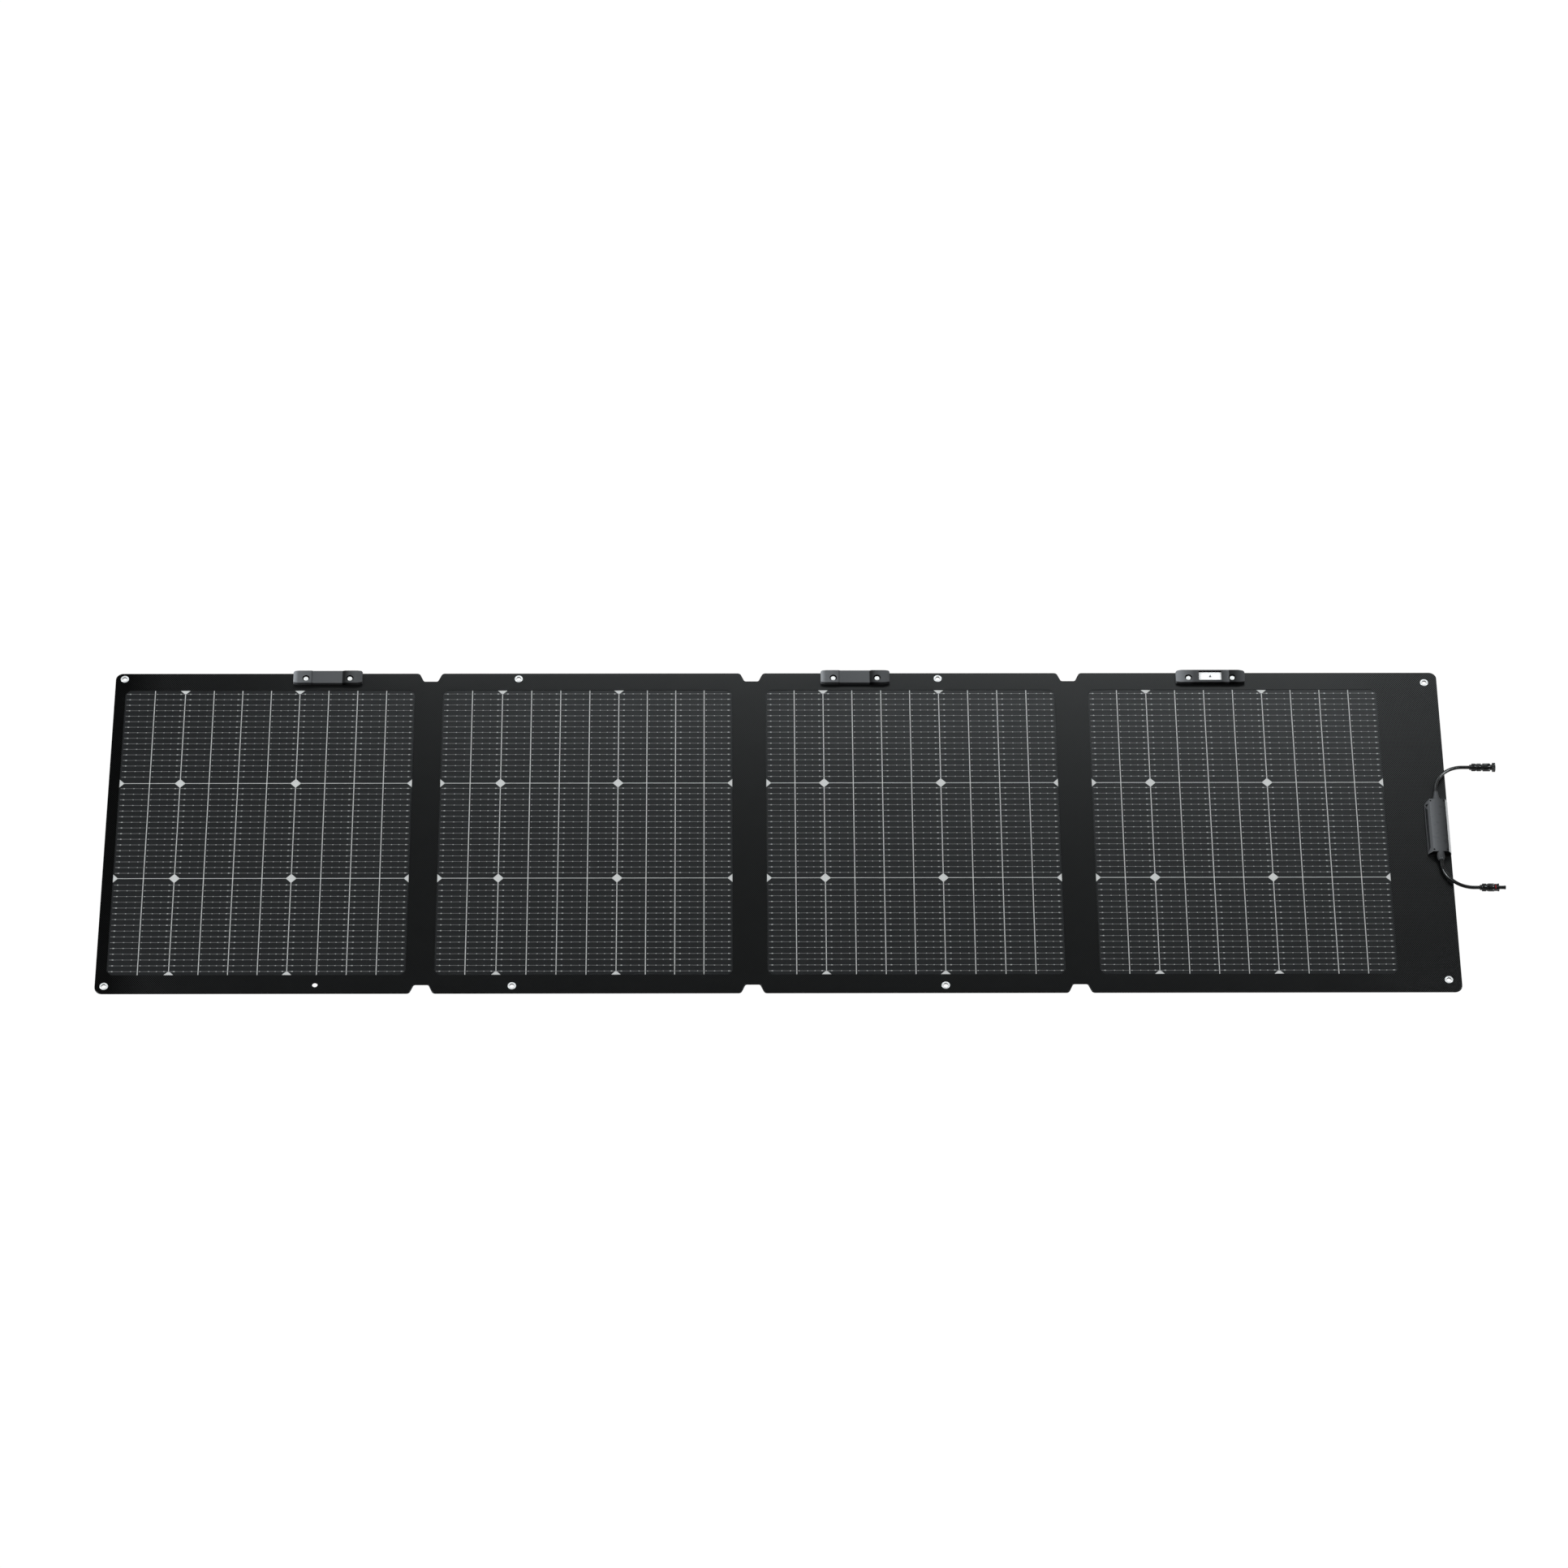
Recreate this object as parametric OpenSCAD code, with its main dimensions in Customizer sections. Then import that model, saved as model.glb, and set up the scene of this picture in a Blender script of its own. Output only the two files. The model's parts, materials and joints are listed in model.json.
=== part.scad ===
// Folding solar sheet: four laminated panels that fold like an accordion, three
// edge clips, a junction box and two connector leads.
// Millimetres. The origin is the centre of the sheet on its back face. +X runs
// along the sheet towards the junction box and +Z leaves the light-catching face.

/* [Cells] */
// Side of the wafer that each cell strip is a quarter of
wafer = 182; // [178:0.5:182]
// Cut-off corner of the wafer, along its side
wafer_corner = 7.4; // [5:0.1:9]
// Gap between the strips of a row
strip_gap = 1.4; // [1:0.1:1.4]
// Gap between the rows
row_gap = 1.2; // [1:0.1:2]
// How far the two joins between a row's wafers lie past even spacing, on each panel
join_shift_1 = [3.8, 1];
join_shift_2 = [3.4, 3.9];
join_shift_3 = [-0.5, -1.1];
join_shift_4 = [0.8, 0.6];
// Thickness of a cell strip
cell_t = 0.3; // [0.2:0.05:0.4]
// Ribbons that cross each row
ribbons_per_row = 16; // [9:1:18]
// Spacing of the ribbons of a row
ribbon_pitch = 10.88; // [10:0.01:10.9]
// How far the outer rows' ribbons sit towards the long edges
ribbon_shift = 2.5; // [0:0.1:3]
// Width of a ribbon
ribbon_w = 0.6; // [0.3:0.1:1]

/* [Sheet] */
// Height of the sheet, across the folds
sheet_h = 616; // [605:1:640]
// Length of the sheet, along X
sheet_w = 2140.4; // [2139:0.1:2160]
// Middle of the first fold, from the free left edge
fold_1_x = 510; // [509:0.5:511]
// Middle of the second fold, from the free left edge
fold_2_x = 1029; // [1027:0.5:1031]
// Middle of the third fold, from the free left edge
fold_3_x = 1542; // [1541:0.5:1544]
// Left edge of the first row of cells, from the free left edge
cells_1_x = 17.3; // [15:0.1:18]
// Left edge of the second panel's cells
cells_2_x = 530; // [528:0.5:532]
// Left edge of the third panel's cells
cells_3_x = 1052; // [1050:0.5:1053]
// Left edge of the fourth panel's cells
cells_4_x = 1573.5; // [1572:0.5:1575]
// Radius of the four free corners
corner_r = 12; // [6:1:14]

/* [Layers] */
// Thickness of the back fabric
back_t = 0.5; // [0.4:0.1:0.8]
// Thickness of the stiffening board
board_t = 1.5; // [1:0.1:2]
// How far the board reaches past the cells
board_rim = 9; // [4:0.5:10]
// Thickness of a ribbon
ribbon_t = 0.1; // [0.05:0.05:0.2]
// Thickness of the clear front film
film_t = 0.4; // [0.2:0.1:0.6]

/* [Folds] */
// Gap between two faces folded together, which the clips fit in
front_gap = 8.6; // [8.2:0.1:9]
// Gap between two backs folded together
back_gap = 6; // [4:0.5:8]
// Depth of the notch at each end of a fold
notch_depth = 16; // [10:0.5:18]
// Half the width of the notch's floor
notch_floor = 9; // [6:0.5:10]
// Lean of the notch's walls
notch_lean = 24; // [10:1:35]
// Radius at the notch's floor
notch_floor_r = 3.5; // [2:0.5:4]
// Radius at the notch's mouth
notch_mouth_r = 6.5; // [4:0.5:7]

/* [Eyelets] */
// Bore of an eyelet
eyelet_bore = 7.7; // [6:0.1:8.2]
// Outside diameter of an eyelet's flange
eyelet_flange = 12.6; // [11:0.1:13]
// Distance of the first panels' lower eyelets from the long edge
eyelet_inset = 13; // [11:0.5:14]
// Distance of the last panel's lower eyelet from the long edge
last_eyelet_inset = 22; // [15:0.5:24]
// How much nearer their long edge the upper eyelets are
upper_eyelet_rise = 2; // [0:0.5:3]
// Bore of the plain punched hole
punched_bore = 8.8; // [7:0.1:9]

/* [Clips] */
// Length of a clip
clip_l = 112; // [108:1:116]
// Height of a clip above the sheet
clip_h = 7; // [6:0.1:7]
// How far a clip reaches in from the long edge
clip_reach = 23; // [22:0.5:24]
// How far a clip stands past the long edge
clip_lip = 1.8; // [1.5:0.1:2.5]
// Distance between a clip's two rivets
rivet_pitch = 71; // [66:1:74]
// Middle of the first clip, from the free left edge
clip_1_x = 343.5; // [340:0.5:350]
// Middle of the second clip, from the free left edge
clip_2_x = 1197; // [1192:0.5:1200]
// Middle of the third clip, from the free left edge
clip_3_x = 1773; // [1766:0.5:1776]

/* [Junction box] */
// Length of the junction box, across the sheet
box_l = 101; // [96:1:106]
// Width of the junction box at its foot
box_w = 37; // [35:0.5:38]
// Width of the junction box's flat top
box_top_w = 24.4; // [22:0.1:26]
// Height of the junction box above the sheet
box_h = 12; // [11.5:0.5:14]
// Diameter of a lead's cable
cable_d = 5.6; // [4:0.1:6]
// Bend radius of the socket's lead
socket_bend = 45; // [35:1:50]
// Bend radius of the plug's lead
plug_bend = 49; // [35:1:52]
// Diameter of the two connectors
connector_d = 12.4; // [12:0.1:12.6]

/* [Hidden] */

textile = "#1d1e1f";
glass_fibre = "#c8c9c7";
silicon = "#2c2f34";
tinned = "#a9abad";
nickel = "#d6d6d4";
moulding = "#3b3c3e";
black_moulding = "#18191a";

columns = 10;
rows = 3;
strip_w = wafer / 4;
cells_w = columns * strip_w + (columns - 1) * strip_gap;
cells_h = rows * wafer + (rows - 1) * row_gap;
fold_x = [fold_1_x, fold_2_x, fold_3_x];
fold_gap = [front_gap, back_gap, front_gap];
cells_x = [cells_1_x, cells_2_x, cells_3_x, cells_4_x];
clip_x = [clip_1_x, clip_2_x, clip_3_x];
clip_panel = [1, 3, 4];

// Heights of the layers
board_z = back_t;
cell_z = board_z + board_t;
ribbon_z = cell_z + cell_t;
film_z = ribbon_z + ribbon_t;
sheet_t = film_z + film_t;

// Gap between neighbouring soft solids at a crease, and round a part in its pocket
crease_slit = 0.2;
seat = 0.05;
window_rim = 0.3;
// How far a cutting solid runs past the face that it cuts
over = 1;
arc_steps = 6;
$fn = 48;

// A point's place in the row frame, from the free left edge and the middle line
function from_left(x) = x - sheet_w / 2;
function arc(centre, r, start, end) = [
    for (i = [0:arc_steps])
        let (a = start + (end - start) * i / arc_steps)
        centre + r * [cos(a), sin(a)]
];
function turned_round(points) = [for (i = [len(points) - 1:-1:0]) points[i]];
function placed(points, x, side, top) = [for (p = points) [x + side * p.x, top * p.y]];

// Edge of a panel beside a fold, from its crease to the long edge
function notch_side(crease) =
    let (floor_y = sheet_h / 2 - notch_depth)
    let (wall_foot = notch_floor_r * [cos(notch_lean), 1 - sin(notch_lean)])
    let (wall_head = notch_mouth_r * [cos(notch_lean), 1 - sin(notch_lean)])
    let (wall_w = (notch_depth - wall_foot.y - wall_head.y) * tan(notch_lean))
    let (mouth_x = notch_floor + wall_foot.x + wall_w + wall_head.x)
    concat(
        [[crease, floor_y]],
        arc([notch_floor, floor_y + notch_floor_r], notch_floor_r, -90, -notch_lean),
        arc([mouth_x, sheet_h / 2 - notch_mouth_r], notch_mouth_r, 180 - notch_lean, 90)
    );
// A free corner of the sheet, from the short edge to the long edge
function free_corner() = arc([corner_r, sheet_h / 2 - corner_r], corner_r, 180, 90);
// The crease of fold f, from its middle line
function crease(f) = fold_gap[f - 1] / 2;
function left_x(k) = k == 1 ? from_left(0) : from_left(fold_x[k - 2]);
function right_x(k) = k == 4 ? from_left(sheet_w) : from_left(fold_x[k - 1]);
function left_side(k) = k == 1 ? free_corner() : notch_side(crease(k - 1) + crease_slit / 2);
function right_side(k) = k == 4 ? free_corner() : notch_side(crease(k) + crease_slit / 2);

module panel_outline(k) {
    polygon(concat(
        placed(right_side(k), right_x(k), -1, 1),
        placed(turned_round(left_side(k)), left_x(k), 1, 1),
        placed(left_side(k), left_x(k), 1, -1),
        placed(turned_round(right_side(k)), right_x(k), -1, -1)
    ));
}

module layer(z, t) {
    translate([0, 0, z]) linear_extrude(t) children();
}

module at_cells(k) {
    translate([from_left(cells_x[k - 1]) + cells_w / 2, 0]) children();
}

// Rectangle with its corners cut off
module cut_rectangle(w, h, cut) {
    polygon([
        [w / 2 - cut, -h / 2], [w / 2, cut - h / 2], [w / 2, h / 2 - cut], [w / 2 - cut, h / 2],
        [cut - w / 2, h / 2], [-w / 2, h / 2 - cut], [-w / 2, cut - h / 2], [cut - w / 2, -h / 2]
    ]);
}

module window_shape(rim) {
    cut_rectangle(cells_w + 2 * rim, cells_h + 2 * rim, wafer_corner + rim);
}

// Places of each panel's eyelets, as distances from the free left edge
eyelet_x = [14.5, 652, 1331, 2120];
function eyelet_y(k, side) =
    sheet_h / 2 - (k == 4 ? last_eyelet_inset : eyelet_inset) + (side > 0 ? upper_eyelet_rise : 0);
punched_x = 344;
punched_y = -292.5;

module at_eyelets(k) {
    for (side = [-1, 1]) translate([from_left(eyelet_x[k - 1]), side * eyelet_y(k, side), 0]) children();
}

module at_clip(c) {
    translate([from_left(clip_x[c - 1]), sheet_h / 2, 0]) children();
}

rivet_y = -14;
module at_rivets(c) {
    at_clip(c) for (side = [-1, 1]) translate([side * rivet_pitch / 2, rivet_y, 0]) children();
}

// Runs its children once for the clip on panel k, if it has one
module clip_of(k) {
    for (c = [1:3]) if (clip_panel[c - 1] == k) {
        $clip = c;
        children();
    }
}

module drill(r) {
    translate([0, 0, -over]) cylinder(h = sheet_t + 2 * over, r = r);
}

// Eyelet and rivet sizes
barrel_t = 0.5;
flange_h = 0.7;
barrel_r = eyelet_bore / 2 + barrel_t;
shank_r = 1.75;
rivet_head_r = 4.1;
rivet_head_h = 1.2;

module back_fabric(k) {
    color(textile) difference() {
        layer(0, back_t) panel_outline(k);
        at_eyelets(k) drill(eyelet_flange / 2 + seat);
        clip_of(k) at_rivets($clip) drill(shank_r + seat);
        if (k == 1) translate([from_left(punched_x), punched_y, 0]) drill(punched_bore / 2);
    }
}

module board(k) {
    color(glass_fibre) layer(board_z, board_t)
        at_cells(k) square([cells_w + 2 * board_rim, cells_h + 2 * board_rim], center = true);
}

// A wafer's cut corners lie at its outer edges: two strips, then four and four
function wafer_edge(boundary) = boundary == 0 || (boundary + 2) % 4 == 0;

// Start of a panel's column of strips, evenly spaced inside each wafer
join_shift = [join_shift_1, join_shift_2, join_shift_3, join_shift_4];
function column_x(k, column) =
    let (joins = join_shift[k - 1])
    column * (strip_w + strip_gap) + lookup(column, [[0, 0], [2, joins[0]], [6, joins[1]], [columns, 0]]);

module strip(column, w) {
    left = wafer_edge(column) ? wafer_corner : 0;
    right = wafer_edge(column + 1) ? wafer_corner : 0;
    polygon([
        [left, 0], [w - right, 0], [w, right], [w, wafer - right],
        [w - right, wafer], [left, wafer], [0, wafer - left], [0, left]
    ]);
}

module cells(k) {
    color(silicon) layer(cell_z, cell_t) at_cells(k) translate([-cells_w / 2, -cells_h / 2])
        for (column = [0:columns - 1], row = [0:rows - 1])
            translate([column_x(k, column), row * (wafer + row_gap)])
                strip(column, column_x(k, column + 1) - column_x(k, column) - strip_gap);
}

// The ribbons stop this far inside the outer strips, clear of the window's cut corners
ribbon_end = 2.5;
module ribbons(k) {
    color(tinned) at_cells(k)
        for (row = [0:rows - 1], i = [0:ribbons_per_row - 1])
            translate([
                ribbon_end - cells_w / 2,
                (row - (rows - 1) / 2) * (wafer + row_gap + ribbon_shift)
                    + (i - (ribbons_per_row - 1) / 2) * ribbon_pitch - ribbon_w / 2,
                ribbon_z
            ]) cube([cells_w - 2 * ribbon_end, ribbon_w, ribbon_t]);
}

module border(k) {
    color(textile) difference() {
        layer(board_z, sheet_t - board_z) panel_outline(k);
        layer(board_z - over, board_t + over)
            at_cells(k) square([cells_w + 2 * board_rim, cells_h + 2 * board_rim], center = true);
        layer(board_z, sheet_t) at_cells(k) window_shape(window_rim);
        at_eyelets(k) drill(barrel_r + seat);
        clip_of(k) {
            at_rivets($clip) drill(shank_r + seat);
            at_clip($clip) layer(board_z - over, anchor_t + seat + over) anchor_shape(seat);
        }
        if (k == 1) translate([from_left(punched_x), punched_y, 0]) drill(punched_bore / 2);
    }
}

module film(k) {
    color(glass_fibre, 0.25) layer(film_z, film_t) at_cells(k) window_shape(window_rim - seat);
}

module eyelets(k) {
    color(nickel) at_eyelets(k) difference() {
        union() {
            cylinder(h = back_t, r = eyelet_flange / 2);
            cylinder(h = sheet_t + flange_h / 2, r = barrel_r);
            translate([0, 0, sheet_t])
                cylinder(h = flange_h, r1 = eyelet_flange / 2, r2 = eyelet_flange / 2 - flange_h);
        }
        drill(eyelet_bore / 2);
    }
}

// Conductors that carry the string across a fold, out and back
jumper_w = 12;
jumper_t = 0.4;
jumper_z = 1.2;
jumper_y = 90;
module jumper_shapes(f, rim) {
    for (side = [-1, 1]) translate([from_left(fold_x[f - 1]), side * jumper_y])
        square([fold_gap[f - 1] - crease_slit + 2 * rim, jumper_w], center = true);
}

module fold_fabric(f) {
    strip_l = sheet_h - 2 * notch_depth;
    color(textile) difference() {
        layer(0, sheet_t) translate([from_left(fold_x[f - 1]), 0])
            square([fold_gap[f - 1] - crease_slit, strip_l], center = true);
        layer(jumper_z, jumper_t) jumper_shapes(f, over);
    }
}

module fold_jumpers(f) {
    color(tinned) layer(jumper_z, jumper_t) jumper_shapes(f, 0);
}

// Hidden plate inside the border that a clip is riveted to
anchor_t = 1.4;
anchor_w = 90;
anchor_reach = [4, 21.5];
module anchor_shape(rim) {
    translate([-anchor_w / 2 - rim, -anchor_reach[1] - rim])
        square([anchor_w + 2 * rim, anchor_reach[1] - anchor_reach[0] + 2 * rim]);
}

module clip_anchor(c) {
    color(moulding) difference() {
        at_clip(c) layer(board_z, anchor_t) anchor_shape(0);
        at_rivets(c) drill(shank_r + seat);
    }
}

// Clip: a plan, a front view and an end view, each cut square to its own plane
clip_front_cut = [10, 2.8];
clip_back_cut = [17, 2];
clip_back_corner = 3.5;
clip_end_drop = 1.6;
clip_end_l = 11;
clip_edge = 0.9;
badge_half = [23.5, 26];
badge_drop = 1;
counterbore_r = 5.6;
counterbore_depth = 3.4;
module clip_plan() {
    front = -clip_reach;
    end = clip_l / 2;
    corner_y = clip_lip - clip_back_cut.y - clip_back_corner;
    polygon(concat(
        [[end - clip_front_cut.x, front], [end, front + clip_front_cut.y]],
        arc([end - clip_back_corner, corner_y], clip_back_corner, 0, 75),
        [[end - clip_back_cut.x, clip_lip], [clip_back_cut.x - end, clip_lip]],
        arc([clip_back_corner - end, corner_y], clip_back_corner, 105, 180),
        [[-end, front + clip_front_cut.y], [clip_front_cut.x - end, front]]
    ));
}

module clip_front_view(drop) {
    top = sheet_t + clip_h;
    end = clip_l / 2;
    polygon([
        [-end, 0], [end, 0], [end, top - clip_end_drop - clip_edge],
        [end - clip_edge, top - clip_end_drop], [end - clip_end_l, top],
        [badge_half[1], top], [badge_half[0], top - drop],
        [-badge_half[0], top - drop], [-badge_half[1], top],
        [clip_end_l - end, top], [clip_edge - end, top - clip_end_drop],
        [-end, top - clip_end_drop - clip_edge]
    ]);
}

module clip_end_view() {
    top = sheet_t + clip_h;
    polygon([
        [-clip_reach, sheet_t], [0, sheet_t], [crease_slit, sheet_t], [crease_slit, 0], [clip_lip, 0],
        [clip_lip, top - 2 * clip_edge], [clip_lip - 2 * clip_edge, top],
        [clip_edge - clip_reach, top], [-clip_reach, top - clip_edge]
    ]);
}

module clip_shell(drop) {
    intersection() {
        layer(0, sheet_t + clip_h) clip_plan();
        rotate([90, 0, 0]) translate([0, 0, -clip_lip - over])
            linear_extrude(clip_reach + clip_lip + 2 * over) clip_front_view(drop);
        rotate([90, 0, 90]) translate([0, 0, -clip_l / 2]) linear_extrude(clip_l) clip_end_view();
    }
}

module clip_cover(c) {
    top = sheet_t + clip_h;
    color(moulding) difference() {
        at_clip(c) clip_shell(c == 3 ? 0 : badge_drop);
        at_rivets(c) {
            cylinder(h = top, r = shank_r + seat);
            translate([0, 0, top - counterbore_depth])
                cylinder(h = counterbore_depth + over, r = counterbore_r);
        }
        if (c == 3) at_clip(c) translate([0, sun_y, 0]) {
            translate([0, 0, top - sun_depth]) block(sun_w, sun_l, sun_depth + over);
            translate([0, 0, top - sun_depth - sun_pin_root]) cylinder(h = sun_depth, r = sun_pin_r + seat);
        }
    }
}

module clip_rivets(c) {
    head_z = sheet_t + clip_h - counterbore_depth;
    color(nickel) at_rivets(c) {
        cylinder(h = head_z, r = shank_r);
        translate([0, 0, head_z])
            cylinder(h = rivet_head_h, r1 = rivet_head_r, r2 = rivet_head_r - rivet_head_h / 2);
    }
}

// Sun-angle sight in the third clip
sun_w = 36.8;
sun_l = 17;
sun_y = -10;
sun_depth = 4.5;
sun_plate_t = 0.8;
sun_pin_r = 1.1;
sun_pin_root = 1;
sun_pin_l = 5.2;
module block(w, l, h) {
    translate([-w / 2, -l / 2, 0]) cube([w, l, h]);
}

module sun_plate() {
    color("#f2f2f0") at_clip(3) translate([0, sun_y, sheet_t + clip_h - sun_depth]) difference() {
        block(sun_w - 2 * seat, sun_l - 2 * seat, sun_plate_t);
        translate([0, 0, -over]) cylinder(h = sun_plate_t + 2 * over, r = sun_pin_r + seat);
    }
}

module sun_pin() {
    color(black_moulding) at_clip(3) translate([0, sun_y, sheet_t + clip_h - sun_depth - sun_pin_root])
        cylinder(h = sun_pin_l, r = sun_pin_r);
}

// Junction box: its middle is level with the middle of the sheet
box_floor = 2;
box_wall = 2;
box_end_wall = 7;
box_top_shift = 1.5;
gasket_t = 0.6;
gasket_w = 1.5;
gasket_inset = 1;
pcb = [24, 78, 1.6];
post_r = 2.2;
post_h = 1.5;
post_place = [8, 30];
diode = [9, 7, 2.4];
diode_pitch = 16;
terminal = [12, 6, 3];
terminal_y = 33;
lid_foot_h = 1.2;
screw_r = 1;
screw_head_r = 1.3;
screw_head_h = 1.2;
screw_tip_z = 0.4;
box_screw_x = box_top_w / 2 - 1.4;
box_screw_y = box_l / 2 - 3.5;
lead_z = sheet_t + 6.4;
gland_x = 1.1;
gland_neck_r = 3.6;
module at_box() {
    translate([from_left(sheet_w) - box_w / 2, 0, 0]) children();
}

module at_box_screws() {
    at_box() for (x = [-1, 1], y = [-1, 1])
        translate([box_top_shift + x * box_screw_x, y * box_screw_y, 0]) children();
}

module box_base() {
    color(moulding) difference() {
        union() {
            at_box() layer(sheet_t, box_floor) square([box_w, box_l], center = true);
            at_box() for (x = [-1, 1], y = [-1, 1])
                translate([x * post_place.x, y * post_place.y, sheet_t + box_floor])
                    cylinder(h = post_h, r = post_r);
        }
        at_box_screws() translate([0, 0, sheet_t]) cylinder(h = box_floor + over, r = screw_r + seat);
    }
}

module box_gasket() {
    color(black_moulding) at_box() layer(sheet_t + box_floor, gasket_t) difference() {
        square([box_w - 2 * gasket_inset, box_l - 2 * gasket_inset], center = true);
        square([box_w - 2 * (gasket_inset + gasket_w), box_l - 2 * (gasket_inset + gasket_w)], center = true);
    }
}

// Circuit board with its three bypass diodes and two terminals
module box_board() {
    color("#2f5d3a") at_box() translate([0, 0, sheet_t + box_floor + post_h]) {
        layer(0, pcb.z) square([pcb.x, pcb.y], center = true);
        for (i = [-1:1]) translate([0, i * diode_pitch, pcb.z]) block(diode.x, diode.y, diode.z);
        for (i = [-1, 1]) translate([0, i * terminal_y, pcb.z]) block(terminal.x, terminal.y, terminal.z);
    }
}

// Cross-section of the box from its foot to its flat top
module box_section(wall, height) {
    foot = box_w / 2 - wall;
    top = box_top_w / 2 - wall / 2;
    polygon([
        [-foot, 0], [foot, 0], [foot, lid_foot_h],
        [box_top_shift + top, height], [box_top_shift - top, height], [-foot, lid_foot_h]
    ]);
}

module box_prism(wall, length, height) {
    rotate([90, 0, 0]) translate([0, 0, -length / 2]) linear_extrude(length) box_section(wall, height);
}

module box_lid() {
    lid_z = sheet_t + box_floor;
    lid_h = box_h - box_floor;
    color(moulding) difference() {
        at_box() translate([0, 0, lid_z]) difference() {
            box_prism(0, box_l, lid_h);
            translate([0, 0, -over]) box_prism(box_wall, box_l - 2 * box_end_wall, lid_h - box_wall + over);
            layer(-over, gasket_t + over)
                square([box_w - 2 * gasket_inset, box_l - 2 * gasket_inset], center = true);
        }
        at_box() translate([gland_x, 0, lead_z]) rotate([90, 0, 0])
            cylinder(h = box_l + 2 * over, r = gland_neck_r + seat, center = true);
        at_box_screws() {
            translate([0, 0, lid_z]) cylinder(h = box_h, r = screw_r + seat);
            translate([0, 0, sheet_t + box_h - screw_head_h - seat])
                cylinder(h = box_h, r = screw_head_r + seat);
        }
    }
}

module box_screws() {
    head_z = sheet_t + box_h - screw_head_h - seat;
    color(black_moulding) at_box_screws() {
        translate([0, 0, sheet_t + screw_tip_z]) cylinder(h = head_z - sheet_t - screw_tip_z, r = screw_r);
        translate([0, 0, head_z]) cylinder(h = screw_head_h, r = screw_head_r);
    }
}

// Strain reliefs: a tapered boot for the socket's lead, a ringed barrel for the plug's
boot_r = 5.8;
boot_tip_r = 3.2;
boot_l = [5, 12];
relief_r = 6.1;
relief_step = 1;
relief_tip_r = 4.1;
relief_l = [10, 4];
neck_overlap = 1;
module along_y(side) {
    at_box() translate([gland_x, side * box_l / 2, lead_z]) rotate([-90 * side, 0, 0]) children();
}

module box_glands() {
    color(moulding) {
        along_y(1) {
            translate([0, 0, -box_end_wall]) cylinder(h = box_end_wall + neck_overlap, r = gland_neck_r);
            cylinder(h = boot_l[0], r = boot_r);
            translate([0, 0, boot_l[0]]) cylinder(h = boot_l[1], r1 = boot_r, r2 = boot_tip_r);
        }
        along_y(-1) {
            translate([0, 0, -box_end_wall]) cylinder(h = box_end_wall + neck_overlap, r = gland_neck_r);
            cylinder(h = relief_l[0], r = relief_r);
            translate([0, 0, relief_l[0]])
                cylinder(h = relief_l[1], r1 = relief_r - relief_step, r2 = relief_tip_r);
        }
    }
}

// Each lead starts with a dome centred on the pivot that it swings about
dome_gap = 0.15;
socket_pivot = boot_l[0] + boot_l[1] + cable_d / 2 + dome_gap;
plug_pivot = relief_l[0] + relief_l[1] + cable_d / 2 + dome_gap;
connector_x = 57;
nut_l = 11;
nut_grip = 4;
module at_pivot(side, pivot) {
    at_box() translate([gland_x, side * (box_l / 2 + pivot), lead_z])
        mirror([0, side < 0 ? 1 : 0, 0]) children();
}

module lead(bend) {
    sphere(d = cable_d);
    translate([bend, 0, 0]) rotate([0, 0, 90])
        rotate_extrude(angle = 90) translate([bend, 0]) circle(d = cable_d);
    translate([bend, bend, 0]) rotate([0, 90, 0]) cylinder(h = connector_x + nut_grip - bend, d = cable_d);
}

// Children lie along +Z from the cable's side of the nut, with their X across the sheet
module at_connector(side, pivot, bend) {
    at_pivot(side, pivot) translate([connector_x, bend, 0]) rotate([0, 90, 0]) rotate([0, 0, 90]) children();
}

// Ribbed cap nut that clamps the cable
nut_taper_l = 3;
nut_inset = 0.6;
nut_ribs = 12;
nut_rib_r = 0.5;
nut_rib_end = 0.5;
module connector_nut() {
    nut_r = connector_d / 2 - nut_inset;
    difference() {
        union() {
            cylinder(h = nut_taper_l, r1 = cable_d / 2 + over, r2 = nut_r - nut_inset);
            translate([0, 0, nut_taper_l]) cylinder(h = nut_l - nut_taper_l, r = nut_r);
            for (i = [0:nut_ribs - 1]) rotate([0, 0, i * 360 / nut_ribs])
                translate([nut_r, 0, nut_taper_l + nut_rib_end])
                    cylinder(h = nut_l - nut_taper_l - 2 * nut_rib_end, r = nut_rib_r, $fn = 16);
        }
        translate([0, 0, -over]) cylinder(h = nut_grip + over, d = cable_d);
    }
}

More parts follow.
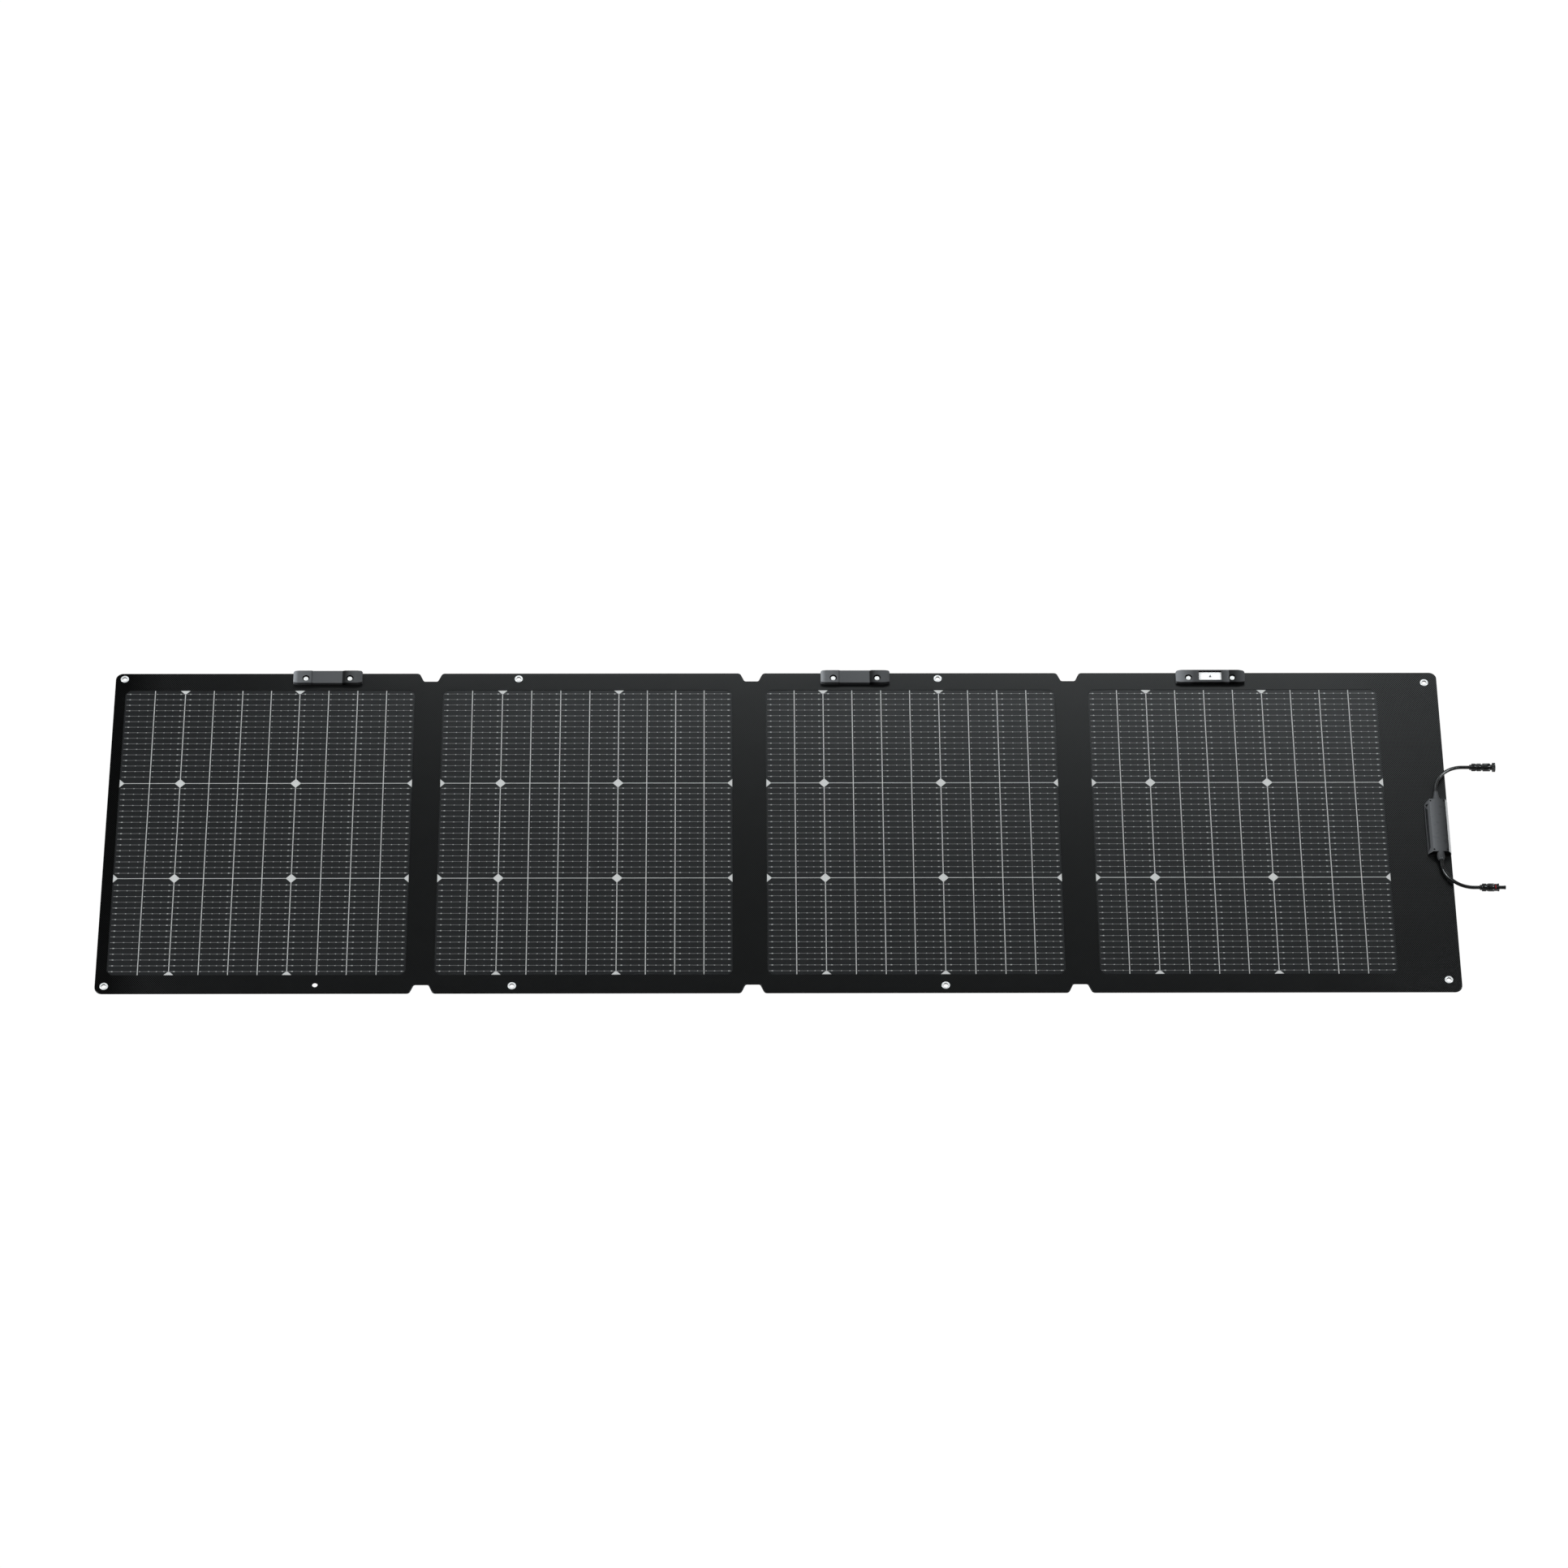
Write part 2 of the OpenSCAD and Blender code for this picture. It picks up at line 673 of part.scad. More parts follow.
// Socket connector: a collar, a waist, and a barrel with two latch windows
socket_l = 31;
socket_collar_l = 10;
socket_collar_inset = 0.3;
socket_waist_l = 3;
socket_waist_inset = 1.2;
socket_bore_r = 2.95;
socket_depth = 16;
latch_window = [3.2, 6, 6];
latch_from_mouth = 9;
contact_r = 1.2;
contact_root = 5;
contact_recess = 3;
module socket_lead() { color(black_moulding) at_pivot(1, socket_pivot) lead(socket_bend); }
module socket_nut() { color(black_moulding) at_connector(1, socket_pivot, socket_bend) connector_nut(); }
module socket_body() {
    r = connector_d / 2;
    floor_z = socket_l - socket_depth;
    barrel_z = socket_collar_l + socket_waist_l;
    color(black_moulding) at_connector(1, socket_pivot, socket_bend) translate([0, 0, nut_l]) difference() {
        union() {
            cylinder(h = socket_collar_l, r = r - socket_collar_inset);
            translate([0, 0, socket_collar_l]) cylinder(h = socket_waist_l, r = r - socket_waist_inset);
            translate([0, 0, barrel_z]) cylinder(h = socket_l - barrel_z, r = r);
        }
        translate([0, 0, floor_z]) cylinder(h = socket_depth + over, r = socket_bore_r);
        translate([0, 0, floor_z - contact_root - over]) cylinder(h = contact_root + 2 * over, r = contact_r);
        for (side = [-1, 1]) translate([side * r, 0, socket_l - latch_from_mouth])
            block(latch_window.x, latch_window.y, latch_window.z);
    }
}
module socket_contact() {
    color(nickel) at_connector(1, socket_pivot, socket_bend)
        translate([0, 0, nut_l + socket_l - socket_depth - contact_root])
            cylinder(h = socket_depth + contact_root - contact_recess, r = contact_r);
}

// Plug connector: a short body, two latch arms, and a slim barrel behind a seal ring
plug_l = 13;
plug_root_l = 8;
plug_root_step = 0.3;
plug_pin_r = 2.8;
plug_pin_l = 9.5;
plug_bore_l = 12;
latch_arm = [1.6, 4.4];
latch_arm_inset = 1.3;
latch_arm_root = 1;
sleeve_t = 0.6;
sleeve_l = 11;
sleeve_floor = 2;
seal_r = 0.7;
module plug_lead() { color(black_moulding) at_pivot(-1, plug_pivot) lead(plug_bend); }
module plug_nut() { color(black_moulding) at_connector(-1, plug_pivot, plug_bend) connector_nut(); }
module plug_body() {
    r = connector_d / 2;
    pin_z = plug_l + plug_root_l;
    color(black_moulding) at_connector(-1, plug_pivot, plug_bend) translate([0, 0, nut_l]) difference() {
        union() {
            cylinder(h = plug_l, r = r);
            cylinder(h = pin_z, r = plug_pin_r + plug_root_step);
            cylinder(h = pin_z + plug_pin_l, r = plug_pin_r);
            for (side = [-1, 1]) translate([side * (r - latch_arm_inset), 0, plug_l - latch_arm_root])
                block(latch_arm.x, latch_arm.y, plug_root_l);
        }
        translate([0, 0, pin_z + plug_pin_l - plug_bore_l])
            cylinder(h = plug_bore_l + over, r = contact_r + sleeve_t);
    }
}
module plug_contact() {
    color(nickel) at_connector(-1, plug_pivot, plug_bend)
        translate([0, 0, nut_l + plug_l + plug_root_l + plug_pin_l - plug_bore_l]) difference() {
            cylinder(h = sleeve_l, r = contact_r + sleeve_t - seat);
            translate([0, 0, sleeve_floor]) cylinder(h = sleeve_l, r = contact_r);
        }
}
module plug_seal() {
    root_r = plug_pin_r + plug_root_step;
    color("#b3262b") at_connector(-1, plug_pivot, plug_bend) translate([0, 0, nut_l + plug_l]) difference() {
        cylinder(h = 2 * seal_r, r = root_r + seal_r);
        translate([0, 0, -over]) cylinder(h = 2 * (seal_r + over), r = root_r);
    }
}

for (k = [1:4]) {
    back_fabric(k);
    board(k);
    cells(k);
    ribbons(k);
    border(k);
    film(k);
    eyelets(k);
}
for (f = [1:3]) {
    fold_fabric(f);
    fold_jumpers(f);
}
for (c = [1:3]) {
    clip_cover(c);
    clip_anchor(c);
    clip_rivets(c);
}
sun_plate();
sun_pin();
box_base();
box_gasket();
box_board();
box_lid();
box_screws();
box_glands();
socket_lead();
socket_nut();
socket_body();
socket_contact();
plug_lead();
plug_nut();
plug_body();
plug_contact();
plug_seal();
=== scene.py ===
"""Looks of the folding solar sheet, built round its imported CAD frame."""

import json
import math

import bmesh
import bpy
from mathutils import Matrix, Vector

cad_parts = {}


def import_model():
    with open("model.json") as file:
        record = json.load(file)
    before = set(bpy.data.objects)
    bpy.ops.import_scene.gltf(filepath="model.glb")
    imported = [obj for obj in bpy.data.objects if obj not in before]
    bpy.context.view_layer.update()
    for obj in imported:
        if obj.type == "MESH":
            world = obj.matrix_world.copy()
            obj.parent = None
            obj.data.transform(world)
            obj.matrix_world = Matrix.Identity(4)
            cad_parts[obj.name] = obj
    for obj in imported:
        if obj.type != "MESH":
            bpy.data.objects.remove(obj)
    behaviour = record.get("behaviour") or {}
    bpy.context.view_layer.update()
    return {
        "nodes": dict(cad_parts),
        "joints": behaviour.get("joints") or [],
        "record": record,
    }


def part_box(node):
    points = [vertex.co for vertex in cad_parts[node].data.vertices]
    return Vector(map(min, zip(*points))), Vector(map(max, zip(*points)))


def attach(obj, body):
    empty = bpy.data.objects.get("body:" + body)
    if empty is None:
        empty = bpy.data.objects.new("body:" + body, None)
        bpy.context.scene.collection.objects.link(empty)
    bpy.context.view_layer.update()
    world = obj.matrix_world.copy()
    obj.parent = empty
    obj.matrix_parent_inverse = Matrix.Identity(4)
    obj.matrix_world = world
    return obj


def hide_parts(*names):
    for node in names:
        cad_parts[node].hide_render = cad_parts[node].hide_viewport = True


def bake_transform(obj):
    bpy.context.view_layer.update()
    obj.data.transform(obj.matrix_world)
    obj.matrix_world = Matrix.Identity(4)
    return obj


MM = 0.001
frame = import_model()
JOINTS = {joint["name"]: joint for joint in frame["joints"]}
MOUNTS = {mount["name"]: mount for mount in frame["record"]["mounts"]}

# ---- Sizes in millimetres, taken from the frame where it holds them ----
PANELS = (1, 2, 3, 4)
FOLDS = (1, 2, 3)
CLIPS = (1, 2, 3)
CLIP_BODY = {1: "panel_1", 2: "panel_3", 3: "panel_4"}
COLUMNS = 10
ROWS = 3
RIBBONS_PER_ROW = 16
STRIPS_PER_STRING = 2
TEXTILE_PROUD = 0.05
CORNER_R = 12
NOTCH_FLOOR = 9
NOTCH_LEAN = math.radians(24)
NOTCH_FLOOR_R = 3.5
NOTCH_MOUTH_R = 6.5
WAFER_CORNER = 7.4
RIVET_R = 1.8
RIVET_IN = 14
RIVET_HALF_PITCH = 35.5


def span(node):
    """Lowest and highest corner of a CAD node, in millimetres."""
    low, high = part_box(node)
    return low / MM, high / MM


def mount_at(name):
    return Vector(MOUNTS[name]["pos_m"]) / MM


def joint_at(name):
    return Vector(JOINTS[name]["pos_m"]) / MM


SHEET_LOW, SHEET_HIGH = span("panel_1_border")[0], span("panel_4_border")[1]
EDGE_Y = SHEET_HIGH.y
BACK_T = span("panel_1_back_fabric")[1].z
BOARD_TOP = span("panel_1_board")[1].z
CELL_TOP = span("panel_1_cells")[1].z
RIBBON_TOP = span("panel_1_ribbons")[1].z
SHEET_T = SHEET_HIGH.z
TEXTILE_TOP = SHEET_T + TEXTILE_PROUD
NOTCH_FLOOR_Y = span("fold_1_fabric")[1].y
FOLD_X = {f: (joint_at(f"fold_{f}").x + joint_at(f"fold_{f}_far_crease").x) / 2 for f in FOLDS}


# ---- Mesh helpers ----
def to_metres(points):
    return [Vector(p) * MM for p in points]


def new_object(name, bm, materials, smooth_angle=32, weighted=True):
    """Turns a bmesh, in millimetres, into a shaded object in metres."""
    bmesh.ops.recalc_face_normals(bm, faces=bm.faces[:])
    bmesh.ops.scale(bm, vec=(MM, MM, MM), verts=bm.verts[:])
    mesh = bpy.data.meshes.new(name)
    bm.to_mesh(mesh)
    bm.free()
    for material in materials:
        mesh.materials.append(material)
    mesh.shade_smooth()
    mesh.set_sharp_from_angle(angle=math.radians(smooth_angle))
    piece = bpy.data.objects.new(name, mesh)
    bpy.context.scene.collection.objects.link(piece)
    if weighted:
        piece.modifiers.new("even_normals", "WEIGHTED_NORMAL").keep_sharp = True
    return piece


def ring(bm, points):
    return [bm.verts.new(p) for p in points]


def bridge(bm, first, second, slot=0):
    """Joins two closed rings of the same length with quads."""
    count = len(first)
    for i in range(count):
        j = (i + 1) % count
        face = bm.faces.new((first[i], first[j], second[j], second[i]))
        face.material_index = slot


def cap(bm, points, slot=0):
    bm.faces.new(points).material_index = slot


def loft(bm, sections, slot=0, closed=False):
    """Skin through equal-length sections, with flat caps unless it closes on itself."""
    rings = [ring(bm, section) for section in sections]
    for first, second in zip(rings, rings[1:]):
        bridge(bm, first, second, slot)
    if closed:
        bridge(bm, rings[-1], rings[0], slot)
    else:
        cap(bm, rings[0], slot)
        cap(bm, rings[-1], slot)
    return rings


def circle(radius, segments, start=0.0):
    step = 2 * math.pi / segments
    return [Vector((radius * math.cos(start + i * step), radius * math.sin(start + i * step))) for i in range(segments)]


def arc(centre, radius, start, end, steps):
    """Points on an arc, with angles in degrees."""
    angles = [math.radians(start + (end - start) * i / steps) for i in range(steps + 1)]
    return [Vector((centre[0] + radius * math.cos(a), centre[1] + radius * math.sin(a))) for a in angles]


def lathe(bm, profile, place=Matrix(), segments=48, slot=0, closed=False):
    """Turns a profile of (radius, height) points about the local Z axis."""
    sections = []
    for radius, height in profile:
        sections.append([place @ Vector((p.x, p.y, height)) for p in circle(radius, segments)])
    return loft(bm, sections, slot, closed)


def inset_loop(points, distance):
    """Moves a closed loop to its left by a distance, with mitred corners."""
    moved = []
    for i, point in enumerate(points):
        before = (point - points[i - 1]).normalized()
        after = (points[(i + 1) % len(points)] - point).normalized()
        tangent = (before + after).normalized()
        left = Vector((-tangent.y, tangent.x))
        stretch = max(0.3, left.dot(Vector((-after.y, after.x))))
        moved.append(point + left * distance / stretch)
    return moved


def walled_solid(bm, walls, caps, held_x=()):
    """walls holds (loop, [(inset, height), ...]); caps holds groups of (wall, level) that bound one flat face.

    Points whose X is held don't move along X, so that a straight side there stays square.
    """
    rings = {}
    for name, (loop, levels) in walls.items():
        made = []
        for inset, height in levels:
            points = inset_loop(loop, inset)
            for point, origin in zip(points, loop):
                if any(abs(origin.x - x) < 0.01 for x in held_x):
                    point.x = origin.x
            made.append(ring(bm, [(p.x, p.y, height) for p in points]))
        for first, second in zip(made, made[1:]):
            bridge(bm, first, second)
        rings[name] = made
    for group in caps:
        edges = []
        for name, level in group:
            edge_ring = rings[name][level]
            for i, vert in enumerate(edge_ring):
                after = edge_ring[(i + 1) % len(edge_ring)]
                edges.append(bm.edges.get((vert, after)) or bm.edges.new((vert, after)))
        bmesh.ops.triangle_fill(bm, use_beauty=True, use_dissolve=False, edges=edges)


def evaluated_mesh(piece):
    graph = bpy.context.evaluated_depsgraph_get()
    return bpy.data.meshes.new_from_object(piece.evaluated_get(graph))


def cut(piece, cutter_bm, name, smooth_angle=32):
    """Cuts a closed shape out of a piece and drops the cutter."""
    cutter = new_object(name, cutter_bm, [], weighted=False)
    trim = piece.modifiers.new("cut", "BOOLEAN")
    trim.operation = "DIFFERENCE"
    trim.solver = "EXACT"
    trim.object = cutter
    bpy.context.view_layer.update()
    mesh = evaluated_mesh(piece)
    piece.modifiers.clear()
    piece.data = mesh
    bpy.data.objects.remove(cutter)
    mesh.shade_smooth()
    mesh.set_sharp_from_angle(angle=math.radians(smooth_angle))
    piece.modifiers.new("even_normals", "WEIGHTED_NORMAL").keep_sharp = True
    return piece


# ---- Material helpers ----
class Shader:
    """One node material, built with short calls."""

    def __init__(self, name):
        self.material = bpy.data.materials.new(name)
        self.material.use_nodes = True
        self.tree = self.material.node_tree
        self.tree.nodes.clear()
        self.place = self.add("ShaderNodeTexCoord").outputs["Object"]

    def add(self, kind, inputs=(), **settings):
        node = self.tree.nodes.new(kind)
        for key, value in settings.items():
            setattr(node, key, value)
        for key, value in dict(inputs).items():
            if isinstance(value, bpy.types.NodeSocket):
                self.tree.links.new(value, node.inputs[key])
            else:
                node.inputs[key].default_value = value
        return node

    def math(self, operation, first, second=0.0, third=0.0):
        return self.add("ShaderNodeMath", {0: first, 1: second, 2: third}, operation=operation).outputs[0]

    def axis(self, name):
        return self.add("ShaderNodeSeparateXYZ", {0: self.place}).outputs[name]

    def wave(self, coordinate, pitch_mm):
        """Cosine of a coordinate, with the pitch in millimetres."""
        return self.math("COSINE", self.math("MULTIPLY", coordinate, 2 * math.pi / (pitch_mm * MM)))

    def noise(self, size_mm, detail=2.0):
        scale = 1 / (size_mm * MM)
        return self.add("ShaderNodeTexNoise", {"Vector": self.place, "Scale": scale, "Detail": detail}).outputs["Fac"]

    def between(self, factor, low, high):
        """Colour or grey that runs from low to high as the factor runs from 0 to 1."""
        mix = self.add("ShaderNodeMix", data_type="RGBA", clamp_factor=True)
        for socket, value in ((0, factor), (6, low), (7, high)):
            if isinstance(value, bpy.types.NodeSocket):
                self.tree.links.new(value, mix.inputs[socket])
            elif socket == 0:
                mix.inputs[socket].default_value = value
            else:
                mix.inputs[socket].default_value = (*value, 1.0)
        return mix.outputs[2]

    def spread(self, value, low, high, new_low=0.0, new_high=1.0):
        """Maps a range of values onto another one."""
        inputs = {"Value": value, "From Min": low, "From Max": high, "To Min": new_low, "To Max": new_high}
        return self.add("ShaderNodeMapRange", inputs).outputs["Result"]

    def bump(self, height, depth_mm, strength=1.0):
        inputs = {"Height": height, "Distance": depth_mm * MM, "Strength": strength}
        return self.add("ShaderNodeBump", inputs).outputs["Normal"]

    def surface(self, shader):
        self.add("ShaderNodeOutputMaterial", {"Surface": shader})
        return self.material

    def principled(self, **inputs):
        named = {key.replace("_", " "): value for key, value in inputs.items()}
        return self.surface(self.add("ShaderNodeBsdfPrincipled", named).outputs["BSDF"])


def grey(value, warm=0.0):
    """Linear grey, warmer above zero and cooler below it."""
    return (value * (1 + warm), value, value * (1 - warm))


# ---- Materials ----
def textile_material(name, dark, light, roughness, depth):
    """Coated woven cloth: staggered diamonds of thread, boldest towards the ends of the sheet, with painted shade on
    its cut edges and a painted darker left end.
    """
    s = Shader(name)
    across, along = s.axis("X"), s.axis("Y")
    diamonds = s.math("MULTIPLY", s.wave(across, 3.3), s.wave(along, 4.0))
    threads = s.math("MULTIPLY", s.wave(across, 0.55), s.wave(along, 0.55))
    height = s.math("MULTIPLY_ADD", threads, 0.10, diamonds)
    ends = s.spread(s.math("ABSOLUTE", across), 0.88, 0.98, 0.22, 1.0)
    relief = s.spread(s.math("MULTIPLY", height, ends), -0.8, 0.8)
    # face is painted shade: colour and specular fade to black down the cut edges below the top, and fall to about a
    # third towards the left end of the sheet.
    face = s.math("MULTIPLY", s.spread(s.axis("Z"), 0.0019, 0.0026), s.spread(across, -1.05, -0.99, 0.35, 1.0))
    tone = s.math("MULTIPLY", s.math("MULTIPLY", relief, face), s.spread(s.noise(35.0), 0.3, 0.7, 0.8, 1.1))
    return s.principled(
        Base_Color=s.between(tone, grey(dark), grey(light, -0.04)),
        Roughness=roughness,
        Specular_IOR_Level=s.math("MULTIPLY", s.spread(relief, 0.0, 1.0, 0.05, 0.95), face),
        Normal=s.bump(s.math("MULTIPLY", height, ends), depth),
    )


def cell_material():
    """Silicon strip: dark coating with hair-thin metal fingers and a slow change of tint."""
    s = Shader("silicon_strip")
    finger = s.spread(s.wave(s.axis("X"), 1.3), 0.2, 1.0)
    tint = s.between(s.noise(90.0), (0.0035, 0.0045, 0.0055), (0.0050, 0.0056, 0.0070))
    return s.principled(
        Base_Color=s.between(finger, tint, grey(0.016)),
        Roughness=0.32,
        Specular_IOR_Level=0.5,
        Normal=s.bump(s.noise(2.5), 0.02),
    )


def film_material():
    """Clear embossed film: see-through, with a trace of milky haze on the high points of its emboss."""
    s = Shader("embossed_film")
    emboss = s.math("MULTIPLY", s.wave(s.axis("X"), 3.3), s.wave(s.axis("Y"), 4.0))
    haze = s.add("ShaderNodeBsdfDiffuse", {"Color": (0.6, 0.6, 0.6, 1.0)}).outputs[0]
    clear = s.add("ShaderNodeBsdfTransparent").outputs[0]
    amount = s.spread(emboss, -1.0, 1.0, 0.0, 0.012)
    return s.surface(s.add("ShaderNodeMixShader", {0: amount, 1: clear, 2: haze}).outputs[0])


def board_material():
    s = Shader("glass_fibre_laminate")
    weave = s.math("MULTIPLY", s.wave(s.axis("X"), 0.9), s.wave(s.axis("Y"), 0.9))
    speck = s.math("MULTIPLY_ADD", weave, 0.08, s.noise(1.5))
    return s.principled(
        Base_Color=s.between(speck, grey(0.66, 0.02), grey(0.76, 0.02)), Roughness=0.5, Normal=s.bump(weave, 0.02)
    )


def metal_material(name, colour, roughness, grain_mm, grain_depth, metallic=1.0, glow=0.0):
    # The glow argument is a painted glow: it makes the part give off light though it is no lamp.
    s = Shader(name)
    grain = s.noise(grain_mm, 3.0)
    return s.principled(
        Base_Color=s.between(s.spread(grain, 0.3, 0.7), [c * 0.9 for c in colour], colour),
        Metallic=metallic,
        Roughness=s.spread(grain, 0.3, 0.7, roughness * 0.85, roughness * 1.2),
        Emission_Color=(1.0, 1.0, 1.0, 1.0),
        Emission_Strength=glow,
        Normal=s.bump(grain, grain_depth),
    )


def moulding_material(name, colour, roughness, grain_mm=0.5, grain_depth=0.03, specular=0.5):
    """Moulded plastic with a fine spark-eroded grain and faint rubbing marks."""
    s = Shader(name)
    grain = s.noise(grain_mm, 3.0)
    rub = s.spread(s.noise(9.0, 4.0), 0.35, 0.7)
    return s.principled(
        Base_Color=s.between(rub, [c * 0.92 for c in colour], [c * 1.08 for c in colour]),
        Roughness=s.spread(rub, 0.0, 1.0, roughness + 0.05, roughness - 0.05),
        Specular_IOR_Level=specular,
        Normal=s.bump(grain, grain_depth),
    )


def moulding_with_painted_light(name, roughness, painted_light_stops):
    """Moulded plastic with painted light and shade: its tone changes across it as the light falls; the stops hold (x in
    mm, grey) from left to right.
    """
    s = Shader(name)
    grain = s.noise(0.5, 3.0)
    x = s.axis("X")
    tone = painted_light_stops[0][1]
    for (start, first), (end, second) in zip(painted_light_stops, painted_light_stops[1:]):
        tone = s.math("ADD", tone, s.spread(x, start * MM, end * MM, 0.0, second - first))
    tint = s.add("ShaderNodeCombineColor", {0: tone, 1: tone, 2: s.math("MULTIPLY", tone, 1.04)}).outputs[0]
    rub = s.spread(s.noise(9.0, 4.0), 0.35, 0.7, roughness + 0.05, roughness - 0.05)
    return s.principled(Base_Color=tint, Roughness=rub, Specular_IOR_Level=0.2, Normal=s.bump(grain, 0.03))


def eyelet_material(lip_z):
    """Bright plate on the rolled lip with a painted glow, and a barrel below it painted black as shade."""
    s = Shader("plated_eyelet_painted_light")
    # shade is 1 on the lip and 0 on the barrel: it blacks the barrel out as painted shade, taking its metal and shine
    # away, and gives the lip a painted glow.
    shade = s.spread(s.axis("Z"), (lip_z - 0.3) * MM, lip_z * MM)
    grain = s.noise(0.8, 3.0)
    return s.principled(
        Base_Color=s.between(shade, grey(0.01), grey(0.95)),
        Metallic=s.math("MULTIPLY", shade, 0.3),
        Specular_IOR_Level=s.math("MULTIPLY", shade, 0.5),
        Roughness=s.spread(grain, 0.3, 0.7, 0.2, 0.32),
        Emission_Color=(1.0, 1.0, 1.0, 1.0),
        Emission_Strength=s.math("MULTIPLY", shade, 0.15),
        Normal=s.bump(grain, 0.01),
    )


def weave_back_material():
    s = Shader("back_cloth")
    threads = s.math("MULTIPLY", s.wave(s.axis("X"), 1.1), s.wave(s.axis("Y"), 1.1))
    return s.principled(
        Base_Color=s.between(s.spread(threads, -1.0, 1.0), grey(0.006), grey(0.024)),
        Roughness=0.75,
        Specular_IOR_Level=0.15,
        Normal=s.bump(threads, 0.10),
    )


TEXTILE = textile_material("front_cloth", 0.0, 0.0065, 0.30, 0.06)
BACK_CLOTH = weave_back_material()
CELL = cell_material()
FILM = film_material()
BOARD = board_material()
RIBBON = metal_material("tinned_copper", (0.33, 0.32, 0.32), 0.42, 2.0, 0.01, 0.3)
SOLDER = metal_material("solder_pad", (0.66, 0.65, 0.64), 0.38, 0.7, 0.02, 0.3)
NICKEL = eyelet_material(SHEET_T)
# Rivet heads: near-white plating with a painted glow.
RIVET = metal_material("plated_rivet_painted_glow", (0.96, 0.96, 0.95), 0.3, 1.2, 0.01, 0.2, 0.22)
HIDDEN_PLASTIC = moulding_material("anchor_plastic", (0.03, 0.03, 0.03), 0.6)
# Painted light: the box plastic runs lighter towards the left of the box and darker towards the right, as the light
# falls; the strain reliefs and the foot plate share this painted gradient.
BOX_PLASTIC = moulding_with_painted_light("box_plastic", 0.30, [(1034, 0.12), (1041, 0.17), (1050, 0.11), (1065, 0.03)])
# Painted reflection: pale grey on the lid's right slope, standing in for the bright surround it mirrors.
BOX_PAINTED_REFLECTION = moulding_material("box_slope_painted_reflection", (0.70, 0.70, 0.70), 0.3)
# Painted shade: near-black for the insides of the rivet counterbores and of the sun sight's window.
WELL_PAINTED_SHADE = moulding_material("rivet_well_painted_shade", (0.003, 0.003, 0.003), 0.8, specular=0.05)
# Painted shade: dark grey for the floors and walls of the pockets in the lid's left slope.
BOX_POCKET_PAINTED_SHADE = moulding_material("box_pocket_painted_shade", (0.022, 0.022, 0.024), 0.5, specular=0.3)
# Painted highlight: pale grey on the lid's rounded edges.
BOX_EDGE_PAINTED_HIGHLIGHT = moulding_material("box_edge_painted_highlight", (0.55, 0.55, 0.55), 0.3)
# Painted shade: near-black on the lid's end face that faces -Y.
BOX_END_PAINTED_SHADE = moulding_material("box_end_painted_shade", (0.012, 0.012, 0.013), 0.45, specular=0.2)
BLACK_PLASTIC = moulding_material("connector_plastic", (0.006, 0.006, 0.006), 0.24, specular=1.0)
# Sight plate: white plastic with a painted glow.
WHITE_PLASTIC = metal_material("sight_plate", (0.90, 0.90, 0.90), 0.5, 1.0, 0.005, 0.0, 0.35)
GASKET_RUBBER = moulding_material("gasket_rubber", (0.012, 0.012, 0.012), 0.7)
CABLE_RUBBER = moulding_material("cable_jacket", (0.005, 0.005, 0.005), 0.26, 0.8, 0.02, 1.0)
SEAL_RUBBER = moulding_material("seal_rubber", (0.55, 0.02, 0.03), 0.45)
SCREW_STEEL = metal_material("black_screw", (0.03, 0.03, 0.03), 0.45, 0.5, 0.01)
SOLDER_MASK = moulding_material("circuit_board", (0.03, 0.12, 0.05), 0.3)


# ---- Panel cloth ----
def half_side(is_free):
    """Upper half of a panel's side as (distance in from the side, height) points."""
    if is_free:
        return arc((CORNER_R, EDGE_Y - CORNER_R), CORNER_R, 180, 90, 10)
    lean = math.degrees(NOTCH_LEAN)
    rise = 1 - math.sin(NOTCH_LEAN)
    wall = EDGE_Y - NOTCH_FLOOR_Y - (NOTCH_FLOOR_R + NOTCH_MOUTH_R) * rise
    foot_and_head = (NOTCH_FLOOR_R + NOTCH_MOUTH_R) * math.cos(NOTCH_LEAN)
    mouth = NOTCH_FLOOR + foot_and_head + wall * math.tan(NOTCH_LEAN)
    floor_arc = arc((NOTCH_FLOOR, NOTCH_FLOOR_Y + NOTCH_FLOOR_R), NOTCH_FLOOR_R, -90, -lean, 6)
    mouth_arc = arc((mouth, EDGE_Y - NOTCH_MOUTH_R), NOTCH_MOUTH_R, 180 - lean, 90, 8)
    return floor_arc + mouth_arc


def panel_outline(k):
    """Counter-clockwise outline of a panel, up to the straight floors of its notches."""
    left = half_side(k == PANELS[0])
    right = half_side(k == PANELS[-1])
    left_x = SHEET_LOW.x if k == PANELS[0] else FOLD_X[k - 1]
    right_x = SHEET_HIGH.x if k == PANELS[-1] else FOLD_X[k]
    return (
        [Vector((left_x + p.x, -p.y)) for p in left]
        + [Vector((right_x - p.x, -p.y)) for p in reversed(right)]
        + [Vector((right_x - p.x, p.y)) for p in right]
        + [Vector((left_x + p.x, p.y)) for p in reversed(left)]
    )


def fold_sides(k):
    """Places of a panel's straight sides, where its cloth runs on into a fold."""
    sides = [FOLD_X[k - 1] + NOTCH_FLOOR] if k - 1 in FOLD_X else []
    return sides + ([FOLD_X[k] - NOTCH_FLOOR] if k in FOLD_X else [])


def clockwise_rectangle(low, high):
    return [Vector((low[0], low[1])), Vector((low[0], high[1])), Vector((high[0], high[1])), Vector((high[0], low[1]))]


